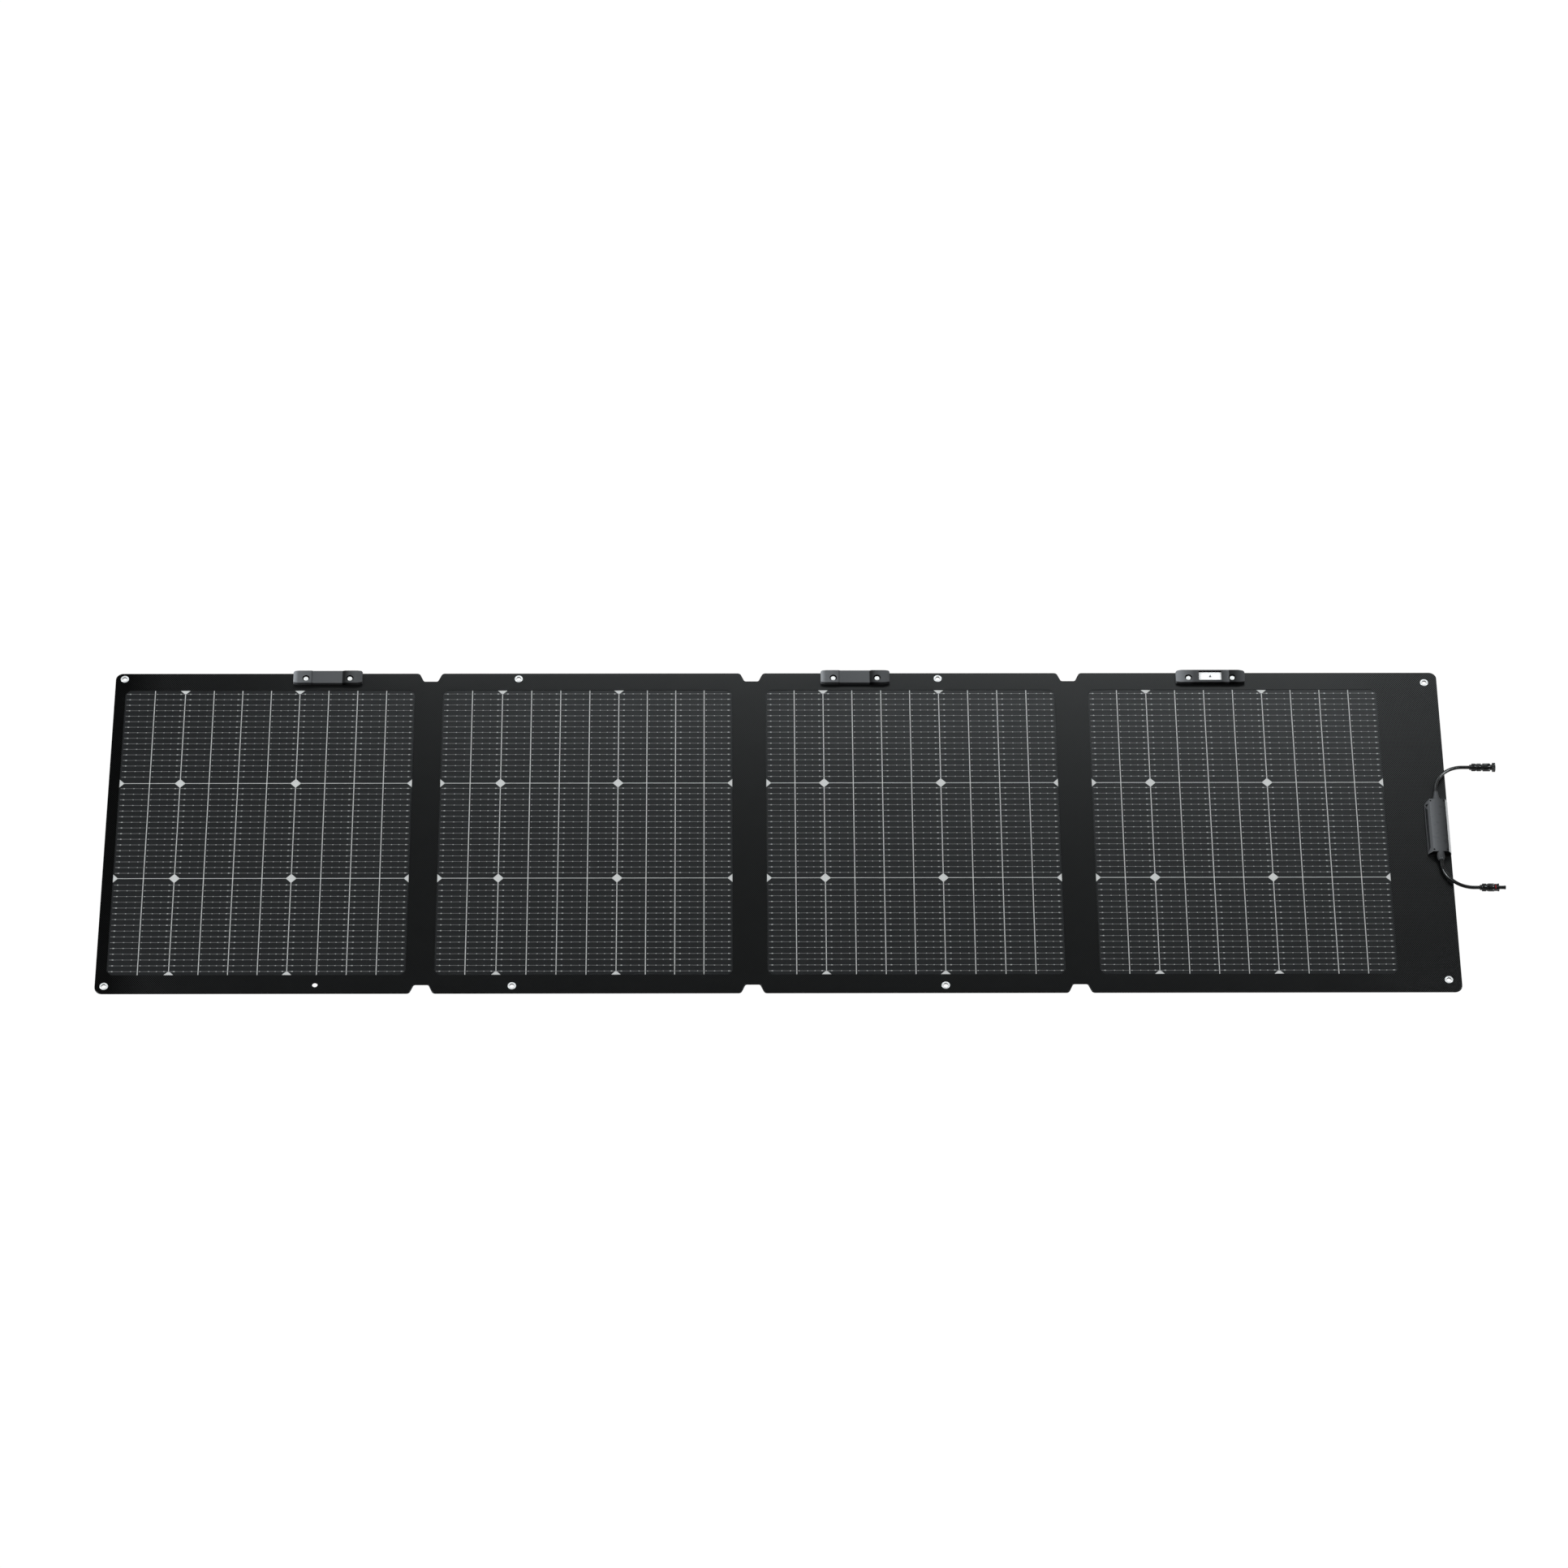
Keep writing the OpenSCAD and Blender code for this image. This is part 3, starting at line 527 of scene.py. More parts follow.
def window_loop(k):
    """Clockwise outline of a panel's cells, with its corners cut off."""
    low, high = span(f"panel_{k}_cells")
    c = WAFER_CORNER
    return [
        Vector(p)
        for p in (
            (low.x + c, low.y), (low.x, low.y + c), (low.x, high.y - c), (low.x + c, high.y),
            (high.x - c, high.y), (high.x, high.y - c), (high.x, low.y + c), (high.x - c, low.y),
        )
    ]


def hole_loop(centre, radius, segments=40):
    return [Vector((centre.x + p.x, centre.y - p.y)) for p in circle(radius, segments)]


def eyelet_places(k):
    return [mount_at(f"eyelet_{k}_top"), mount_at(f"eyelet_{k}_bottom")]


def clip_centre(c):
    low, high = span(f"clip_{c}_cover")
    return Vector(((low.x + high.x) / 2, EDGE_Y))


def clips_of(k):
    return [c for c in CLIPS if CLIP_BODY[c] == f"panel_{k}"]


def rivet_places(c):
    centre = clip_centre(c)
    return [Vector((centre.x + side * RIVET_HALF_PITCH, EDGE_Y - RIVET_IN)) for side in (-1, 1)]


def rounded_top(bottom, top, radius):
    """Wall levels that end in a rounded upper edge."""
    levels = [(0.0, bottom), (0.0, top - radius)]
    levels += [(radius * (1 - math.cos(a)), top - radius + radius * math.sin(a)) for a in (0.52, 1.05, math.pi / 2)]
    return levels


def front_cloth(k):
    """Front cloth of a panel: a window for the cells, a pocket for the board and holes for the fittings."""
    board_low, board_high = span(f"panel_{k}_board")
    walls = {
        "outline": (panel_outline(k), rounded_top(BACK_T, TEXTILE_TOP, 0.7)),
        "window": (window_loop(k), rounded_top(BOARD_TOP, TEXTILE_TOP, 0.25)),
        "pocket": (clockwise_rectangle(board_low, board_high), [(0.0, BACK_T), (0.0, BOARD_TOP)]),
    }
    top_cap = [("outline", -1), ("window", -1)]
    bottom_cap = [("outline", 0), ("pocket", 0)]
    caps = [[("pocket", -1), ("window", 0)]]
    holes = [(p, 4.4) for p in eyelet_places(k)]
    if k == 1:
        holes.append((mount_at("punched_hole"), MOUNTS["punched_hole"]["dims"]["r_mm"]))
    for i, (centre, radius) in enumerate(holes):
        walls[f"hole_{i}"] = (hole_loop(centre, radius), rounded_top(BACK_T, TEXTILE_TOP, 0.2))
        top_cap.append((f"hole_{i}", -1))
        bottom_cap.append((f"hole_{i}", 0))
    for c in clips_of(k):
        low, high = span(f"clip_{c}_anchor")
        walls["anchor"] = (clockwise_rectangle(low, high), [(0.0, BACK_T), (0.0, high.z)])
        bottom_cap.append(("anchor", 0))
        anchor_cap = [("anchor", -1)]
        for i, centre in enumerate(rivet_places(c)):
            walls[f"rivet_{i}"] = (hole_loop(centre, RIVET_R, 20), [(0.0, high.z), (0.0, TEXTILE_TOP)])
            top_cap.append((f"rivet_{i}", -1))
            anchor_cap.append((f"rivet_{i}", 0))
        caps.append(anchor_cap)
    bm = bmesh.new()
    walled_solid(bm, walls, caps + [top_cap, bottom_cap], fold_sides(k))
    piece = new_object(f"panel_{k}_front_cloth", bm, [TEXTILE])
    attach(piece, f"panel_{k}")
    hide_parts(f"panel_{k}_border")


def back_cloth(k):
    walls = {"outline": (panel_outline(k), [(0.25, 0.0), (0.06, 0.06), (0.0, 0.25), (0.0, BACK_T)])}
    names = ["outline"]
    holes = [(p, 6.35) for p in eyelet_places(k)]
    if k == 1:
        holes.append((mount_at("punched_hole"), MOUNTS["punched_hole"]["dims"]["r_mm"]))
    for c in clips_of(k):
        holes += [(p, RIVET_R) for p in rivet_places(c)]
    for i, (centre, radius) in enumerate(holes):
        walls[f"hole_{i}"] = (hole_loop(centre, radius), [(0.0, 0.0), (0.0, BACK_T)])
        names.append(f"hole_{i}")
    bm = bmesh.new()
    walled_solid(bm, walls, [[(name, 0) for name in names], [(name, -1) for name in names]], fold_sides(k))
    piece = new_object(f"panel_{k}_back_cloth", bm, [BACK_CLOTH])
    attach(piece, f"panel_{k}")
    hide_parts(f"panel_{k}_back_fabric")


def fold_half(name, start_x, end_x):
    """Half of a fold's cloth, in fine columns along X."""
    half_h = NOTCH_FLOOR_Y
    side = [(0.25, 0.0), (0.06, 0.06), (0.0, 0.25)] + rounded_top(BACK_T, TEXTILE_TOP, 0.7)[1:]
    lanes = 24
    inner = half_h - side[-1][0]
    outer = half_h - side[0][0]
    section = [(-half_h + inset, z) for inset, z in side]
    section += [(-inner + 2 * inner * i / lanes, TEXTILE_TOP) for i in range(1, lanes)]
    section += [(half_h - inset, z) for inset, z in reversed(side)]
    section += [(outer - 2 * outer * i / lanes, 0.0) for i in range(1, lanes)]
    columns = 24
    bm = bmesh.new()
    stations = [start_x + (end_x - start_x) * i / columns for i in range(columns + 1)]
    loft(bm, [[(x, y, z) for y, z in section] for x in stations])
    piece = new_object(name, bm, [TEXTILE, BACK_CLOTH])
    for face in piece.data.polygons:
        if face.normal.z < -0.5:
            face.material_index = 1
    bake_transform(piece)
    return piece


def fold_cloth(f):
    near = fold_half(
        f"fold_{f}_near_cloth",
        FOLD_X[f] - NOTCH_FLOOR, FOLD_X[f],
    )
    fold_half(
        f"fold_{f}_far_cloth",
        FOLD_X[f], FOLD_X[f] + NOTCH_FLOOR,
    )
    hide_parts(f"fold_{f}_fabric")


# ---- Ribbons and solder pads ----
PAD_PLACES = (8.5, 23.4, 36.8, 50.5, 64.0, 75.6, 87.0)
END_PADS = (PAD_PLACES[0], PAD_PLACES[-1])


def pad(bm, x, y, half_l, half_w):
    """A flat drop of solder over a ribbon."""
    outline = [(half_l * math.copysign(abs(math.cos(a)) ** 0.6, math.cos(a)),
                half_w * math.copysign(abs(math.sin(a)) ** 0.6, math.sin(a)))
               for a in (math.pi * (i + 0.5) / 5 for i in range(10))]
    top = RIBBON_TOP - 0.004
    levels = ((1.0, CELL_TOP), (0.92, CELL_TOP + 0.06), (0.6, top))
    loft(bm, [[(x + px * scale, y + py * scale, z) for px, py in outline] for scale, z in levels], slot=1)


def ribbon(bm, low_x, high_x, y, joins):
    """One ribbon: slim over the cells, wider where it runs from one pair of strips into the next."""
    slim, wide, step = 0.24, 0.40, 0.5
    stations = [(low_x, wide)]
    for left, right in zip(joins, joins[1:]):
        start = left + (END_PADS[0] - 1.5) * (right - left) / STRING_W
        end = left + (END_PADS[1] + 1.5) * (right - left) / STRING_W
        stations += [(start, wide), (start + step, slim), (end - step, slim), (end, wide)]
    stations.append((high_x, wide))
    sections = []
    for x, half_w in stations:
        sections.append([
            (x, y - half_w, CELL_TOP), (x, y + half_w, CELL_TOP), (x, y + half_w * 0.95, CELL_TOP + 0.05),
            (x, y + half_w * 0.5, RIBBON_TOP - 0.012), (x, y - half_w * 0.5, RIBBON_TOP - 0.012),
            (x, y - half_w * 0.95, CELL_TOP + 0.05),
        ])
    loft(bm, sections)


STRIP_GAP = 1.4
STRING_W = 93.8
RIBBON_MARGIN = 2.5
RIBBON_PITCH = 10.88
RIBBON_ROW_PITCH = 185.7


def string_joins(k):
    """Places along a panel where one pair of strips meets the next, read from the cells' own mesh."""
    across = sorted({round(v.co.x / MM, 2) for v in frame["nodes"][f"panel_{k}_cells"].data.vertices})
    gaps = [(a + b) / 2 for a, b in zip(across, across[1:]) if abs(b - a - STRIP_GAP) < 0.05]
    ends = [across[0] - STRIP_GAP / 2, *gaps, across[-1] + STRIP_GAP / 2]
    return ends[::STRIPS_PER_STRING]


def ribbons(k):
    low, high = span(f"panel_{k}_cells")
    joins = string_joins(k)
    bm = bmesh.new()
    for row in range(ROWS):
        for i in range(RIBBONS_PER_ROW):
            y = (row - (ROWS - 1) / 2) * RIBBON_ROW_PITCH + (i - (RIBBONS_PER_ROW - 1) / 2) * RIBBON_PITCH
            ribbon(bm, low.x + RIBBON_MARGIN, high.x - RIBBON_MARGIN, y, joins)
            for left, right in zip(joins, joins[1:]):
                for place in PAD_PLACES:
                    half_l, half_w = (1.5, 0.85) if place in END_PADS else (1.0, 0.65)
                    pad(bm, left + place * (right - left) / STRING_W, y, half_l, half_w)
    piece = new_object(f"panel_{k}_soldered_ribbons", bm, [RIBBON, SOLDER], weighted=False)
    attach(piece, f"panel_{k}")
    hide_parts(f"panel_{k}_ribbons")


# ---- Eyelets ----
def eyelets(k):
    """Rolled ring eyelets with a barrel and a flat washer at the back."""
    bore = MOUNTS[f"eyelet_{k}_top"]["dims"]["r_mm"]
    lip = [(p.x, p.y) for p in arc((bore + 0.62, SHEET_T + 0.08), 0.62, 180, 75, 7)]
    roll = [(p.x, p.y) for p in arc((bore + 1.55, SHEET_T - 0.75), 1.45, 78, 8, 7)]
    profile = [(bore, 0.25), *lip, *roll, (6.25, SHEET_T + 0.02), (4.35, SHEET_T + 0.02), (4.35, BACK_T)]
    profile += [(6.2, BACK_T), (6.3, 0.3), (6.2, 0.04), (bore + 0.25, 0.0)]
    bm = bmesh.new()
    for place in eyelet_places(k):
        lathe(bm, profile, Matrix.Translation((place.x, place.y, 0)), 56, closed=True)
    piece = new_object(f"panel_{k}_ring_eyelets", bm, [NICKEL], weighted=False)
    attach(piece, f"panel_{k}")
    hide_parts(f"panel_{k}_eyelets")


# ---- Clips ----
CLIP_END_DROP = (11, 0.7)
CLIP_FRONT_CUT = (8, 1.8)
CLIP_BACK_CUT = {1: (8, 0.5), 2: (8, 0.5), 3: (9, 1.7)}
CLIP_BACK_CORNER = 3.5
CLIP_FRONT_CORNER = 1.6
CLIP_END_R = 1.2
BADGE_EDGE = (23.5, 27.5)
BADGE_DROP = 1.0
COUNTERBORE_R = 5.3
COUNTERBORE_DEPTH = 2.2
RIVET_HEAD_R = 3.9
SUN_HALF = (18.4, 8.5)
SUN_Y = -10
SUN_DEPTH = 4.5
EDGE_SLIT = 0.2


def rounding(distance, radius):
    """How far a rounded corner falls back at a distance short of its end."""
    if distance >= radius:
        return 0.0
    return radius - math.sqrt(max(0.0, radius**2 - (radius - distance) ** 2))


def smooth(t):
    t = min(1.0, max(0.0, t))
    return t * t * (3 - 2 * t)


def clip_section(c, x):
    """Closed (y, z) outline of a clip at a distance along it from its middle."""
    low, high = span(f"clip_{c}_cover")
    half = (high.x - low.x) / 2
    reach = abs(x)
    left = half - reach
    top = high.z - CLIP_END_DROP[1] * max(0.0, reach - half + CLIP_END_DROP[0]) / CLIP_END_DROP[0]
    top -= rounding(left, CLIP_END_R)
    if c != CLIPS[-1]:
        top -= BADGE_DROP * (1 - smooth((reach - BADGE_EDGE[0]) / (BADGE_EDGE[1] - BADGE_EDGE[0])))
    front = low.y - EDGE_Y + CLIP_FRONT_CUT[1] * max(0.0, reach - half + CLIP_FRONT_CUT[0]) / CLIP_FRONT_CUT[0]
    front += rounding(left, CLIP_FRONT_CORNER)
    cut_length, cut_depth = CLIP_BACK_CUT[c]
    back = high.y - EDGE_Y - cut_depth * max(0.0, reach - half + cut_length) / cut_length
    back -= rounding(left, CLIP_BACK_CORNER)
    foot = SHEET_T
    lip_foot = foot if back < 3 * EDGE_SLIT else 0.05
    lip_in = min(EDGE_SLIT, back - 0.4)
    front_r, back_r = 0.9, 1.6
    points = [(front, foot)]
    points += [(p.x, p.y) for p in arc((front + front_r, top - front_r), front_r, 180, 90, 5)]
    points += [(p.x, p.y) for p in arc((back - back_r, top - back_r), back_r, 90, 0, 6)]
    points += [(back, lip_foot + 0.3), (back - 0.25, lip_foot), (lip_in, lip_foot), (lip_in, foot)]
    return points


def rounded_block(bm, low, high, edge, slot=0, place=Matrix()):
    """Block with all its edges rounded off in two steps."""
    mid = (Vector(low) + Vector(high)) / 2
    half = (Vector(high) - Vector(low)) / 2
    steps = ((1.0, 1.0), (0.3, 0.3), (0.0, 0.0))
    levels = [(-half.z + edge * (1 - a), edge * b) for a, b in ((1.0, 1.0), (0.7, 0.3), (0.0, 0.0))]
    levels += [(-z, inset) for z, inset in reversed(levels)]
    sections = []
    for z, inset in levels:
        x, y = half.x - inset, half.y - inset
        c = edge
        loop = [
            (x - c, -y), (x - 0.3 * c, 0.3 * c - y), (x, c - y), (x, y - c), (x - 0.3 * c, y - 0.3 * c), (x - c, y),
            (c - x, y), (0.3 * c - x, y - 0.3 * c), (-x, y - c), (-x, c - y), (0.3 * c - x, 0.3 * c - y), (c - x, -y),
        ]
        sections.append([place @ (mid + Vector((px, py, z))) for px, py in loop])
    return loft(bm, sections, slot)


def counterbored(c, cutters):
    """Cutters for a clip's two rivets, with a broken edge at the top."""
    high = span(f"clip_{c}_cover")[1]
    floor_z = high.z - COUNTERBORE_DEPTH
    r = COUNTERBORE_R
    profile = [(r - 0.4, floor_z), (r, floor_z + 0.4), (r, high.z - 0.5), (r + 0.6, high.z + 0.1), (r + 0.6, high.z + 2)]
    for place in rivet_places(c):
        lathe(cutters, profile, Matrix.Translation((place.x, place.y, 0)), 56)
        lathe(cutters, [(RIVET_R, -1), (RIVET_R, floor_z + 0.2)], Matrix.Translation((place.x, place.y, 0)), 24)


def clip_material(c):
    """Clip plastic with painted light and shade: a painted highlight pales its left end, painted shade darkens the
    steps beside the badge and is deepest beside the raised lobe to the right of it; the last clip instead has a painted
    dark step right of its window.
    """
    x = clip_centre(c).x
    painted_light_stops = [(-56, 0.42), (-48, 0.15), (-28, 0.12), (-26, 0.06), (-24, 0.10), (22.5, 0.11), (24, 0.008)]
    painted_light_stops += [(27, 0.010), (34, 0.06), (44, 0.09), (56, 0.08)]
    if c == CLIPS[-1]:
        painted_light_stops = [(-56, 0.30), (-42, 0.17), (-26, 0.07), (19, 0.05), (30, 0.12), (31, 0.008), (38, 0.014), (56, 0.08)]
    return moulding_with_painted_light(f"clip_{c}_plastic", 0.48, [(x + place, tone) for place, tone in painted_light_stops])


def clip_stations(half):
    near = [0, 6, 12, 18, 22, 23.5, 24.1, 24.8, 25.5, 26.2, 26.9, 27.5, 29, 33, 37, 41, half - 11.6, half - 11]
    near += [half - 10.4, half - 8, half - 6, half - 4.5]
    near += [half - d for d in (3.5, 2.9, 2.3, 1.8, 1.4, 1.1, 0.8, 0.55, 0.35, 0.2, 0.08, 0.0)]
    return [-x for x in reversed(near[1:])] + near


def clip(c):
    """Clip cover with counterbored rivets; the last one also holds the sun sight."""
    low, high = span(f"clip_{c}_cover")
    centre = clip_centre(c)
    bm = bmesh.new()
    stations = clip_stations((high.x - low.x) / 2)
    loft(bm, [[(centre.x + x, centre.y + y, z) for y, z in clip_section(c, x)] for x in stations])
    cover = new_object(f"clip_{c}_moulding", bm, [clip_material(c), WELL_PAINTED_SHADE], weighted=False)
    cutters = bmesh.new()
    counterbored(c, cutters)
    cut(cover, cutters, "clip_cutters")
    if c == CLIPS[-1]:
        window = bmesh.new()
        sight_window(window, centre, high.z)
        cut(cover, window, "sight_cutter")
    paint_shade_in_wells(cover, rivet_places(c), high.z)
    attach(cover, CLIP_BODY[c])
    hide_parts(f"clip_{c}_cover")
    rivets = bmesh.new()
    head_z = high.z - COUNTERBORE_DEPTH
    profile = [(0.05, 0.04), (RIVET_R - 0.3, 0.04), (RIVET_R - 0.08, 0.3), (RIVET_R - 0.08, head_z), (RIVET_HEAD_R, head_z)]
    profile += [(RIVET_HEAD_R + 0.05, head_z + 0.3), (3.7, head_z + 0.75), (3.2, head_z + 1.15), (2.5, head_z + 1.42)]
    profile += [(1.6, head_z + 1.52), (1.15, head_z + 1.5), (0.95, head_z + 1.25), (0.6, head_z + 1.15), (0.05, head_z + 1.15)]
    for place in rivet_places(c):
        lathe(rivets, profile, Matrix.Translation((place.x, place.y, 0)), 56)
    heads = new_object(f"clip_{c}_domed_rivets", rivets, [RIVET], weighted=False)
    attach(heads, CLIP_BODY[c])
    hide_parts(f"clip_{c}_rivets")


def paint_shade_in_wells(cover, places, top):
    """Paints the inside of the counterbores and of the sun sight's window black, as painted shade."""
    sight = clip_centre(CLIPS[-1])
    for face in cover.data.polygons:
        centre = face.center / MM
        for place in places:
            near = math.hypot(centre.x - place.x, centre.y - place.y) < COUNTERBORE_R + 0.4
            if near and SHEET_T < centre.z < top - 0.02:
                face.material_index = 1
        aside = centre.xy - sight
        if abs(aside.x) < SUN_HALF[0] + 0.1 and abs(aside.y - SUN_Y) < SUN_HALF[1] + 0.1 and centre.z < top - 0.4:
            face.material_index = 1


def sight_window(bm, centre, top):
    half_x, half_y = SUN_HALF
    sections = []
    for grow, z in ((-0.02, top - SUN_DEPTH), (0.0, top - SUN_DEPTH), (0.0, top - 0.5), (0.6, top + 0.15), (0.6, top + 2)):
        x, y, c = half_x + grow, half_y + grow, 0.8
        loop = [(x - c, -y), (x, c - y), (x, y - c), (x - c, y), (c - x, y), (-x, y - c), (-x, c - y), (c - x, -y)]
        sections.append([(centre.x + px, centre.y + SUN_Y + py, z) for px, py in loop])
    loft(bm, sections[1:])


def sun_sight():
    centre = clip_centre(CLIPS[-1])
    low, high = span("sun_plate")
    bm = bmesh.new()
    rounded_block(bm, low, high, 0.15)
    plate = new_object("sun_sight_plate", bm, [WHITE_PLASTIC], weighted=False)
    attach(plate, CLIP_BODY[CLIPS[-1]])
    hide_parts("sun_plate")
    low, high = span("sun_pin")
    r = (high.x - low.x) / 2
    base = span("sun_plate")[1].z - 0.05
    profile = [(r * 0.9, low.z), (r, base), (r + 0.5, base + 0.02), (r + 0.4, base + 0.3), (r, base + 0.5)]
    profile += [(r, high.z - 0.5), (r * 0.85, high.z - 0.18), (r * 0.5, high.z), (0.05, high.z)]
    bm = bmesh.new()
    lathe(bm, profile, Matrix.Translation((centre.x, centre.y + SUN_Y, 0)), 40)
    pin = new_object("sun_sight_pin", bm, [BLACK_PLASTIC], weighted=False)
    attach(pin, CLIP_BODY[CLIPS[-1]])
    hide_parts("sun_pin")


# ---- Junction box ----
BOX_LOW, BOX_HIGH = span("box_base")
BOX_MID_X = (BOX_LOW.x + BOX_HIGH.x) / 2
BOX_HALF_W = (BOX_HIGH.x - BOX_LOW.x) / 2
BOX_HALF_L = BOX_HIGH.y
LID_FOOT = span("box_lid")[0].z
LID_TOP = span("box_lid")[1].z
LID_SHOULDER = LID_FOOT + 1.2
TOP_LEFT = -10.7
TOP_RIGHT = 13.7
EAR_CUT = (7.8, 5.3)
GLAND_X = MOUNTS["socket_exit"]["pos_m"][0] / MM if "socket_exit" in MOUNTS else BOX_MID_X + 1.1
LEAD_Z = joint_at("socket_lead_swing").z


def ear_limit(w):
    """Leftmost place of the box at a distance along it, where its upper left corner is cut off."""
    return -BOX_HALF_W + EAR_CUT[0] * max(0.0, w - BOX_HALF_L + EAR_CUT[1]) / EAR_CUT[1]


def lid_section(w):
    left = min(ear_limit(w), TOP_LEFT - 0.05)
    rise = (LID_TOP - LID_SHOULDER) / (TOP_LEFT + BOX_HALF_W)
    left_z = LID_SHOULDER + (left + BOX_HALF_W) * rise
    right = [
        (BOX_HALF_W, LID_FOOT), (BOX_HALF_W, LID_SHOULDER), (16.75, LID_SHOULDER + 4.2), (14.35, LID_TOP - 1.2),
        (13.75, LID_TOP - 1.9), (13.25, LID_TOP - 1.9), (12.95, LID_TOP - 0.2), (12.75, LID_TOP),
    ]
    return [(left, LID_FOOT)] + right + [(TOP_LEFT, LID_TOP), (left, left_z)]


def on_slope(along, w, out):
    """Point on the lid's left slope: up it from its foot, along the box, and out of the face."""
    length = math.hypot(TOP_LEFT + BOX_HALF_W, LID_TOP - LID_SHOULDER)
    up = Vector((TOP_LEFT + BOX_HALF_W, 0, LID_TOP - LID_SHOULDER)) / length
    normal = Vector((-up.z, 0, up.x))
    foot = Vector((BOX_MID_X - BOX_HALF_W, w, LID_SHOULDER))
    return foot + up * along + normal * out


def out_of_slope(place):
    """How far a point stands out of the lid's left slope."""
    foot = on_slope(0, 0, 0)
    return (place - foot).dot(on_slope(0, 0, 1) - foot)


def slope_pocket(bm, outline, depth, draft):
    """Cutter for a pocket in the left slope, with leaning walls."""
    loop = [Vector(p) for p in outline]
    sections = []
    for out, inset in ((1.0, -draft * 1.0), (-depth, draft)):
        sections.append([on_slope(p.x, p.y, out) for p in inset_loop(loop, inset)])
    loft(bm, sections)


def bevelled(piece, width, angle=25, segments=2):
    """Rounds the piece's hard edges for good."""
    bevel = piece.modifiers.new("bevel", "BEVEL")
    bevel.width = width * MM
    bevel.segments = segments
    bevel.limit_method = "ANGLE"
    bevel.angle_limit = math.radians(angle)
    bevel.harden_normals = False
    bpy.context.view_layer.update()
    mesh = evaluated_mesh(piece)
    piece.modifiers.clear()
    piece.data = mesh
    mesh.shade_smooth()
    mesh.set_sharp_from_angle(angle=math.radians(40))
    piece.modifiers.new("even_normals", "WEIGHTED_NORMAL").keep_sharp = True


def box_lid():
    bm = bmesh.new()
    stations = (-BOX_HALF_L, BOX_HALF_L - EAR_CUT[1], BOX_HALF_L)
    loft(bm, [[(BOX_MID_X + u, w, z) for u, z in lid_section(w)] for w in stations])
    lid = new_object("box_cover", bm, [BOX_PLASTIC, BOX_PAINTED_REFLECTION, BOX_POCKET_PAINTED_SHADE, BOX_EDGE_PAINTED_HIGHLIGHT, BOX_END_PAINTED_SHADE], weighted=False)
    pockets = bmesh.new()
    slope_pocket(pockets, [(1.3, 39.0), (1.0, -47.5), (6.0, -40.5), (6.0, 32.5)], 1.5, 0.5)
    slope_pocket(pockets, [(2.0, 43.2), (4.6, 36.8), (8.2, 42.6)], 3.0, 0.3)
    low, high = span("box_screws")
    head_r = 1.3
    for x in (low.x + head_r, high.x - head_r):
        for y in (low.y + head_r, high.y - head_r):
            lathe(pockets, [(head_r + 0.35, LID_TOP - 1.4), (head_r + 0.35, LID_TOP + 2)], Matrix.Translation((x, y, 0)), 32)
    cut(lid, pockets, "lid_cutters")
    bevelled(lid, 0.5)
    for face in lid.data.polygons:
        place = face.center / MM
        # Slot 1: painted reflection on the right slope.
        if face.normal.x > 0.5 and place.z < LID_TOP - 1.0 and place.x > BOX_MID_X + 14.0:
            face.material_index = 1
        # Slot 2: painted shade in the slope pockets.
        if out_of_slope(place) < -0.6 and place.x < BOX_MID_X + TOP_LEFT and abs(place.y) < BOX_HALF_L - 1:
            face.material_index = 2
        # Slot 4: painted shade on the end face that faces -Y.
        if face.normal.y < -0.95:
            face.material_index = 4
        # Slot 3: painted highlight on the rounded edges that face the front and the left.
        elif 0.2 < face.normal.z < 0.98 and (face.normal.y < -0.15 or -0.62 < face.normal.x < -0.12):
            face.material_index = 3
    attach(lid, "panel_4")
    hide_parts("box_lid")
    bm = bmesh.new()
    sections = []
    for z, inset in ((BOX_LOW.z, 0.3), (BOX_LOW.z + 0.3, 0.0), (BOX_HIGH.z - 0.25, 0.0), (BOX_HIGH.z, 0.25)):
        corners = [
            (BOX_HIGH.x - 1, BOX_LOW.y), (BOX_HIGH.x, BOX_LOW.y + 1), (BOX_HIGH.x, BOX_HIGH.y - 1), (BOX_HIGH.x - 1, BOX_HIGH.y),
            (BOX_LOW.x + EAR_CUT[0], BOX_HIGH.y), (BOX_LOW.x, BOX_HIGH.y - EAR_CUT[1]), (BOX_LOW.x, BOX_LOW.y + 1),
            (BOX_LOW.x + 1, BOX_LOW.y),
        ]
        sections.append([(p.x, p.y, z) for p in inset_loop([Vector(p) for p in corners], inset)])
    loft(bm, sections)
    foot = new_object("box_foot_plate", bm, [BOX_PLASTIC], weighted=False)
    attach(foot, "panel_4")
    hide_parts("box_base")


def along_y(side):
    """Frame whose Z runs out of an end of the box, on the axis of its lead."""
    turn = Matrix.Rotation(math.radians(-90 * side), 4, "X")
    return Matrix.Translation((LEAD_X, side * BOX_HALF_L, LEAD_Z)) @ turn


LEAD_X = joint_at("socket_lead_swing").x


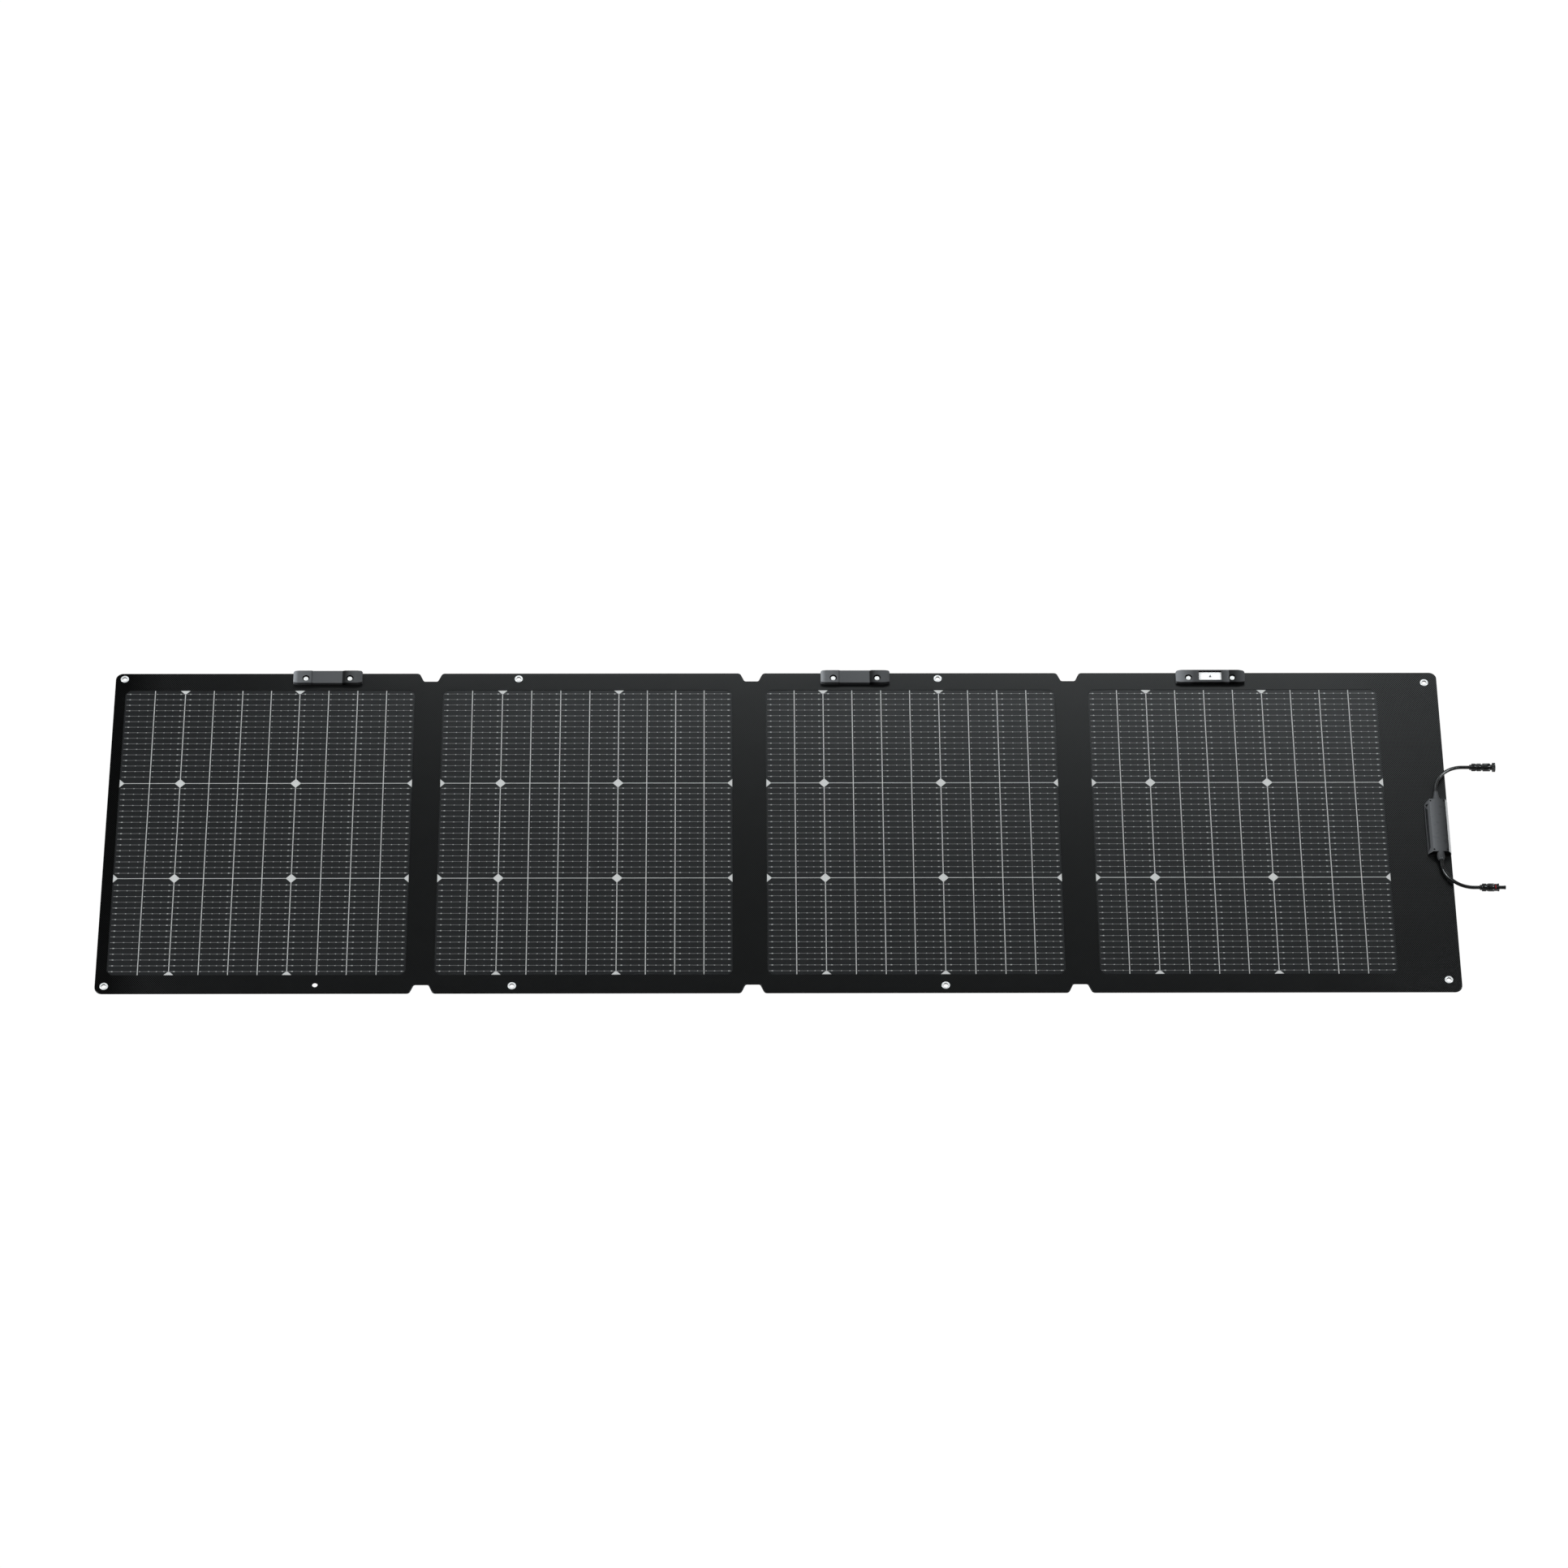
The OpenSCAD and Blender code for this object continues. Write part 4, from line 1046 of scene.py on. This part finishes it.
def glands():
    """Tapered boot for the upper lead and a ringed barrel for the lower one."""
    boot = [(5.2, -0.3), (5.7, 0.0), (5.85, 0.4), (5.85, 4.0), (5.6, 4.6), (4.7, 5.1), (4.55, 5.6), (4.4, 8.0), (4.05, 11.0)]
    boot += [(3.7, 14.0), (3.5, 16.0), (3.3, 16.8), (3.0, 17.1), (2.85, 16.9), (2.85, 12.0)]
    relief = [(5.4, -0.3), (5.75, 0.0), (5.75, 3.2), (5.55, 3.5), (5.55, 3.8), (6.15, 4.2), (6.15, 5.7), (5.6, 6.1), (5.6, 6.6)]
    relief += [(6.1, 7.0), (6.1, 8.5), (5.5, 8.9), (5.3, 9.3), (5.55, 9.7), (5.55, 10.6), (4.9, 11.0), (4.6, 12.6)]
    relief += [(4.0, 13.6), (3.4, 14.0), (2.85, 13.9), (2.85, 10.0)]
    bm = bmesh.new()
    lathe(bm, boot, along_y(1), 64)
    lathe(bm, relief, along_y(-1), 64)
    piece = new_object("box_strain_reliefs", bm, [BOX_PLASTIC], weighted=False)
    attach(piece, "panel_4")
    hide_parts("box_glands")


def screws():
    low, high = span("box_screws")
    head_r = 1.3
    bm = bmesh.new()
    top = high.z
    profile = [(0.9, low.z), (1.0, low.z + 0.3), (1.0, top - 1.2), (head_r, top - 1.2), (head_r, top - 0.5)]
    profile += [(head_r * 0.8, top - 0.2), (0.62, top - 0.12), (0.55, top - 0.7), (0.05, top - 0.75)]
    for x in (low.x + head_r, high.x - head_r):
        for y in (low.y + head_r, high.y - head_r):
            lathe(bm, profile, Matrix.Translation((x, y, 0)), 24)
    piece = new_object("box_socket_screws", bm, [SCREW_STEEL], weighted=False)
    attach(piece, "panel_4")
    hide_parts("box_screws")


# ---- Leads ----
SIDES = {"socket": 1, "plug": -1}
BENDS = {"socket": 45, "plug": 49}
CONNECTOR_X = 57
CABLE_R = 2.8


def lead(kind):
    """One cable, from inside its strain relief, round the bend and into the connector's nut."""
    side, bend = SIDES[kind], BENDS[kind]
    pivot = joint_at(f"{kind}_lead_swing")
    path = [Vector((pivot.x, pivot.y - side * d)) for d in (8, 7, 6, 5, 4, 3, 2, 1)]
    turn = arc((bend, 0), bend, 180, 90, 72)
    path += [Vector((pivot.x + p.x, pivot.y + side * p.y)) for p in turn]
    end = CONNECTOR_X + 4
    run = 6
    path += [Vector((pivot.x + bend + (end - bend) * i / run, pivot.y + side * bend)) for i in range(1, run + 1)]
    sections = []
    for i, point in enumerate(path):
        before, after = path[max(0, i - 1)], path[min(len(path) - 1, i + 1)]
        ahead = (after - before).normalized()
        across = Vector((-ahead.y, ahead.x))
        sections.append([
            (point.x + across.x * p.x, point.y + across.y * p.x, LEAD_Z + p.y) for p in circle(CABLE_R, 32)
        ])
    bm = bmesh.new()
    loft(bm, sections)
    piece = new_object(f"{kind}_cable", bm, [CABLE_RUBBER], 60, weighted=False)
    end = Vector((pivot.x, pivot.y + side * 12.0, LEAD_Z)) * MM
    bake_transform(piece)
    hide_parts(f"{kind}_lead")


def connector_frame(kind):
    """Frame with Z along the connector, from the cable's side of its nut, and X across the sheet."""
    pivot = joint_at(f"{kind}_lead_swing")
    turn = Matrix(((0, 0, 1), (1, 0, 0), (0, 1, 0))).to_4x4()
    return Matrix.Translation((pivot.x + CONNECTOR_X, pivot.y + SIDES[kind] * BENDS[kind], LEAD_Z)) @ turn


def fluted(bm, place, start, end, radius, ribs, rib_h, slot=0):
    """Ring of flat-topped ribs with broken ends."""
    segments = ribs * 10
    sections = []
    for z, scale in ((start, 0.0), (start + 0.5, 1.0), (end - 0.5, 1.0), (end, 0.0)):
        loop = []
        for i in range(segments):
            angle = 2 * math.pi * i / segments
            height = min(1.0, max(0.0, 0.5 + 1.1 * math.cos(ribs * angle)))
            r = radius + rib_h * height * scale - 0.3 * (1 - scale)
            loop.append(place @ Vector((r * math.cos(angle), r * math.sin(angle), z)))
        sections.append(loop)
    loft(bm, sections, slot)


def connector_nut(kind):
    place = connector_frame(kind)
    bm = bmesh.new()
    tip = [(2.85, 0.4), (3.1, 0.0), (3.9, 0.25), (4.35, 0.7), (4.35, 2.4), (4.0, 2.8), (4.0, 3.1), (5.0, 3.4), (5.2, 3.7), (5.2, 5.0)]
    lathe(bm, tip, place, 48)
    fluted(bm, place, 3.5, 10.6, 5.35, 12, 0.85)
    lathe(bm, [(4.9, 10.2), (4.9, 11.2)], place, 48)
    piece = new_object(f"{kind}_cap_nut", bm, [BLACK_PLASTIC], weighted=False)
    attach(piece, f"{kind}_lead")
    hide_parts(f"{kind}_nut")


def socket_body():
    """Socket barrel: collar, waist, raised bars and a two-pronged mouth."""
    place = connector_frame("socket")
    bm = bmesh.new()
    core = [(4.6, 11.0), (5.6, 11.3), (5.9, 11.8), (5.9, 18.4), (5.5, 18.9), (4.9, 19.3), (4.9, 21.6), (5.3, 22.0)]
    core += [(5.3, 33.6), (4.9, 34.0), (4.5, 34.2), (4.5, 36.0), (4.9, 36.4), (4.9, 41.4), (4.5, 41.9), (3.1, 41.9)]
    core += [(2.95, 41.6), (2.95, 26.0)]
    lathe(bm, core, place, 56)
    for side in (-1, 1):
        across = Matrix.Scale(side, 4, (1, 0, 0)) if side < 0 else Matrix()
        rounded_block(bm, (4.4, -2.3, 12.2), (6.2, 2.3, 19.0), 0.3, place=place @ across)
        rounded_block(bm, (4.4, -2.6, 21.4), (6.25, 2.6, 33.4), 0.35, place=place @ across)
        rounded_block(bm, (2.6, -4.4, 36.6), (6.2, 4.4, 41.9), 0.5, place=place @ across)
        rounded_block(bm, (-3.0, 3.6 * side - 0.9, 22.6), (3.0, 3.6 * side + 2.0 * (side > 0) + 0.9, 33.2), 0.3, place=place)
    rounded_block(bm, (-1.5, 4.4, 23.2), (1.5, 5.9, 32.4), 0.3, place=place)
    rounded_block(bm, (-2.6, 4.2, 12.6), (-0.9, 6.1, 18.2), 0.3, place=place)
    rounded_block(bm, (0.9, 4.2, 12.6), (2.6, 6.1, 18.2), 0.3, place=place)
    piece = new_object("socket_barrel", bm, [BLACK_PLASTIC], weighted=False)
    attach(piece, "socket_lead")
    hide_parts("socket_body")


def plug_body():
    """Plug: short body, two latch arms and a slim barrel."""
    place = connector_frame("plug")
    bm = bmesh.new()
    core = [(4.6, 11.0), (5.6, 11.3), (5.9, 11.8), (5.9, 14.0), (5.2, 14.5), (5.2, 15.6), (5.9, 16.1), (5.9, 22.4), (5.4, 23.0)]
    core += [(3.6, 23.0), (3.1, 23.2), (3.1, 31.6), (2.8, 32.0), (2.8, 38.6), (3.1, 39.0), (3.1, 40.8), (2.7, 41.4), (1.9, 41.5)]
    core += [(1.8, 41.2), (1.8, 30.0)]
    lathe(bm, core, place, 56)
    for side in (-1, 1):
        across = Matrix.Scale(side, 4, (1, 0, 0)) if side < 0 else Matrix()
        rounded_block(bm, (4.6, -2.4, 13.2), (6.25, 2.4, 22.8), 0.35, place=place @ across)
        rounded_block(bm, (4.0, -2.2, 22.0), (5.6, 2.2, 29.6), 0.3, place=place @ across)
        rounded_block(bm, (3.9, -2.2, 28.2), (6.2, 2.2, 30.9), 0.35, place=place @ across)
    rounded_block(bm, (-2.4, 4.2, 15.0), (-0.8, 6.1, 22.2), 0.3, place=place)
    rounded_block(bm, (0.8, 4.2, 15.0), (2.4, 6.1, 22.2), 0.3, place=place)
    piece = new_object("plug_barrel", bm, [BLACK_PLASTIC], weighted=False)
    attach(piece, "plug_lead")
    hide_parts("plug_body")
    bm = bmesh.new()
    ring_profile = [(3.15, 24.2), (3.45, 24.25), (3.75, 24.6), (3.75, 25.5), (3.45, 25.85), (3.15, 25.9)]
    lathe(bm, ring_profile, place, 48, closed=True)
    seal = new_object("plug_seal_ring", bm, [SEAL_RUBBER], 60, weighted=False)
    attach(seal, "plug_lead")
    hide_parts("plug_seal")


def paint(node, material):
    """Gives a CAD node its procedural material."""
    slots = frame["nodes"][node].data.materials
    slots.clear()
    slots.append(material)


for k in PANELS:
    front_cloth(k)
    back_cloth(k)
    ribbons(k)
    eyelets(k)
    paint(f"panel_{k}_board", BOARD)
    paint(f"panel_{k}_cells", CELL)
    paint(f"panel_{k}_film", FILM)
for f in FOLDS:
    fold_cloth(f)
    paint(f"fold_{f}_jumpers", RIBBON)
for c in CLIPS:
    clip(c)
    paint(f"clip_{c}_anchor", HIDDEN_PLASTIC)
sun_sight()
box_lid()
glands()
screws()
paint("box_gasket", GASKET_RUBBER)
paint("box_board", SOLDER_MASK)
for kind in SIDES:
    lead(kind)
    connector_nut(kind)
    paint(f"{kind}_contact", RIBBON)
socket_body()
plug_body()


# ---- Studio ----
CAMERA_TARGET = Vector((0.0102, 0.0909, 0.0))
CAMERA_DISTANCE = 9.5785
CAMERA_ELEVATION = math.radians(55.156)
CAMERA_YAW = math.radians(1.080)
CAMERA_ROLL = math.radians(0.825)
LENS_MM = 137.29
FLOOR_Z = -0.06
ROOM_GLOW = 0.05
TABLE_GLOW = 0.5


def camera():
    data = bpy.data.cameras.new("camera")
    data.lens = LENS_MM
    data.sensor_width = 36.0
    data.clip_start = 0.5
    data.clip_end = 100.0
    made = bpy.data.objects.new("camera", data)
    level = math.cos(CAMERA_ELEVATION)
    forward = Vector((
        math.sin(CAMERA_YAW) * level, math.cos(CAMERA_YAW) * level, -math.sin(CAMERA_ELEVATION)
    ))
    right = Vector((math.cos(CAMERA_YAW), -math.sin(CAMERA_YAW), 0.0))
    up = right.cross(forward)
    turned_right = math.cos(CAMERA_ROLL) * right + math.sin(CAMERA_ROLL) * up
    turned_up = -math.sin(CAMERA_ROLL) * right + math.cos(CAMERA_ROLL) * up
    turn = Matrix((turned_right, turned_up, -forward)).transposed()
    made.matrix_world = Matrix.Translation(CAMERA_TARGET - forward * CAMERA_DISTANCE) @ turn.to_4x4()
    bpy.context.scene.collection.objects.link(made)
    bpy.context.scene.camera = made


LIGHT_TINT = (0.92, 0.98, 1.0)


def soft_light(name, place, aim, size_x, size_y, watts):
    data = bpy.data.lights.new(name, "AREA")
    data.shape = "RECTANGLE"
    data.size = size_x
    data.size_y = size_y
    data.energy = watts
    data.color = LIGHT_TINT
    made = bpy.data.objects.new(name, data)
    made.location = place
    made.rotation_mode = "QUATERNION"
    made.rotation_quaternion = (Vector(aim) - Vector(place)).to_track_quat("-Z", "Y")
    made.visible_camera = False
    bpy.context.scene.collection.objects.link(made)


def floor():
    """Plain white ground that only the camera sees, so that it shows no shadow."""
    s = Shader("floor")
    seen = s.add("ShaderNodeLightPath").outputs["Is Camera Ray"]
    below = s.add("ShaderNodeNewGeometry").outputs["Backfacing"]
    amount = s.math("MULTIPLY", seen, s.math("SUBTRACT", 1.0, below))
    white = s.add("ShaderNodeEmission", {"Color": (1, 1, 1, 1), "Strength": 1.02}).outputs[0]
    clear = s.add("ShaderNodeBsdfTransparent").outputs[0]
    material = s.surface(s.add("ShaderNodeMixShader", {0: amount, 1: clear, 2: white}).outputs[0])
    mesh = bpy.data.meshes.new("floor")
    half = 30.0
    corners = [(-half, -half, FLOOR_Z), (half, -half, FLOOR_Z), (half, half, FLOOR_Z), (-half, half, FLOOR_Z)]
    mesh.from_pydata(corners, [], [(0, 1, 2, 3)])
    mesh.materials.append(material)
    ground = bpy.data.objects.new("floor", mesh)
    bpy.context.scene.collection.objects.link(ground)


def world():
    """White to the camera; a dim room above and a bright table below to everything else."""
    made = bpy.data.worlds.new("studio")
    bpy.context.scene.world = made
    made.use_nodes = True
    tree = made.node_tree
    tree.nodes.clear()
    place = tree.nodes.new("ShaderNodeTexCoord")
    split = tree.nodes.new("ShaderNodeSeparateXYZ")
    tree.links.new(place.outputs["Generated"], split.inputs[0])
    height = tree.nodes.new("ShaderNodeMapRange")
    tree.links.new(split.outputs["Z"], height.inputs["Value"])
    for name, value in (("From Min", -0.06), ("From Max", 0.02), ("To Min", TABLE_GLOW), ("To Max", ROOM_GLOW)):
        height.inputs[name].default_value = value
    seen = tree.nodes.new("ShaderNodeLightPath")
    strength = tree.nodes.new("ShaderNodeMix")
    tree.links.new(seen.outputs["Is Camera Ray"], strength.inputs[0])
    tree.links.new(height.outputs["Result"], strength.inputs[2])
    strength.inputs[3].default_value = 1.02
    glow = tree.nodes.new("ShaderNodeBackground")
    tree.links.new(strength.outputs[0], glow.inputs["Strength"])
    glow.inputs["Color"].default_value = (1, 1, 1, 1)
    out = tree.nodes.new("ShaderNodeOutputWorld")
    tree.links.new(glow.outputs[0], out.inputs["Surface"])


camera()
floor()
world()
soft_light("key", (0.3, 1.5, 1.2), (0.1, 0.0, 0.0), 2.4, 0.6, 7.5)
soft_light("left_box", (-3.4, 0.3, 3.6), (0.0, 0.0, 0.0), 1.5, 1.5, 135)
soft_light("right_box", (3.4, 0.3, 3.6), (0.0, 0.0, 0.0), 1.5, 1.5, 100)
bpy.context.scene.view_settings.view_transform = "Standard"
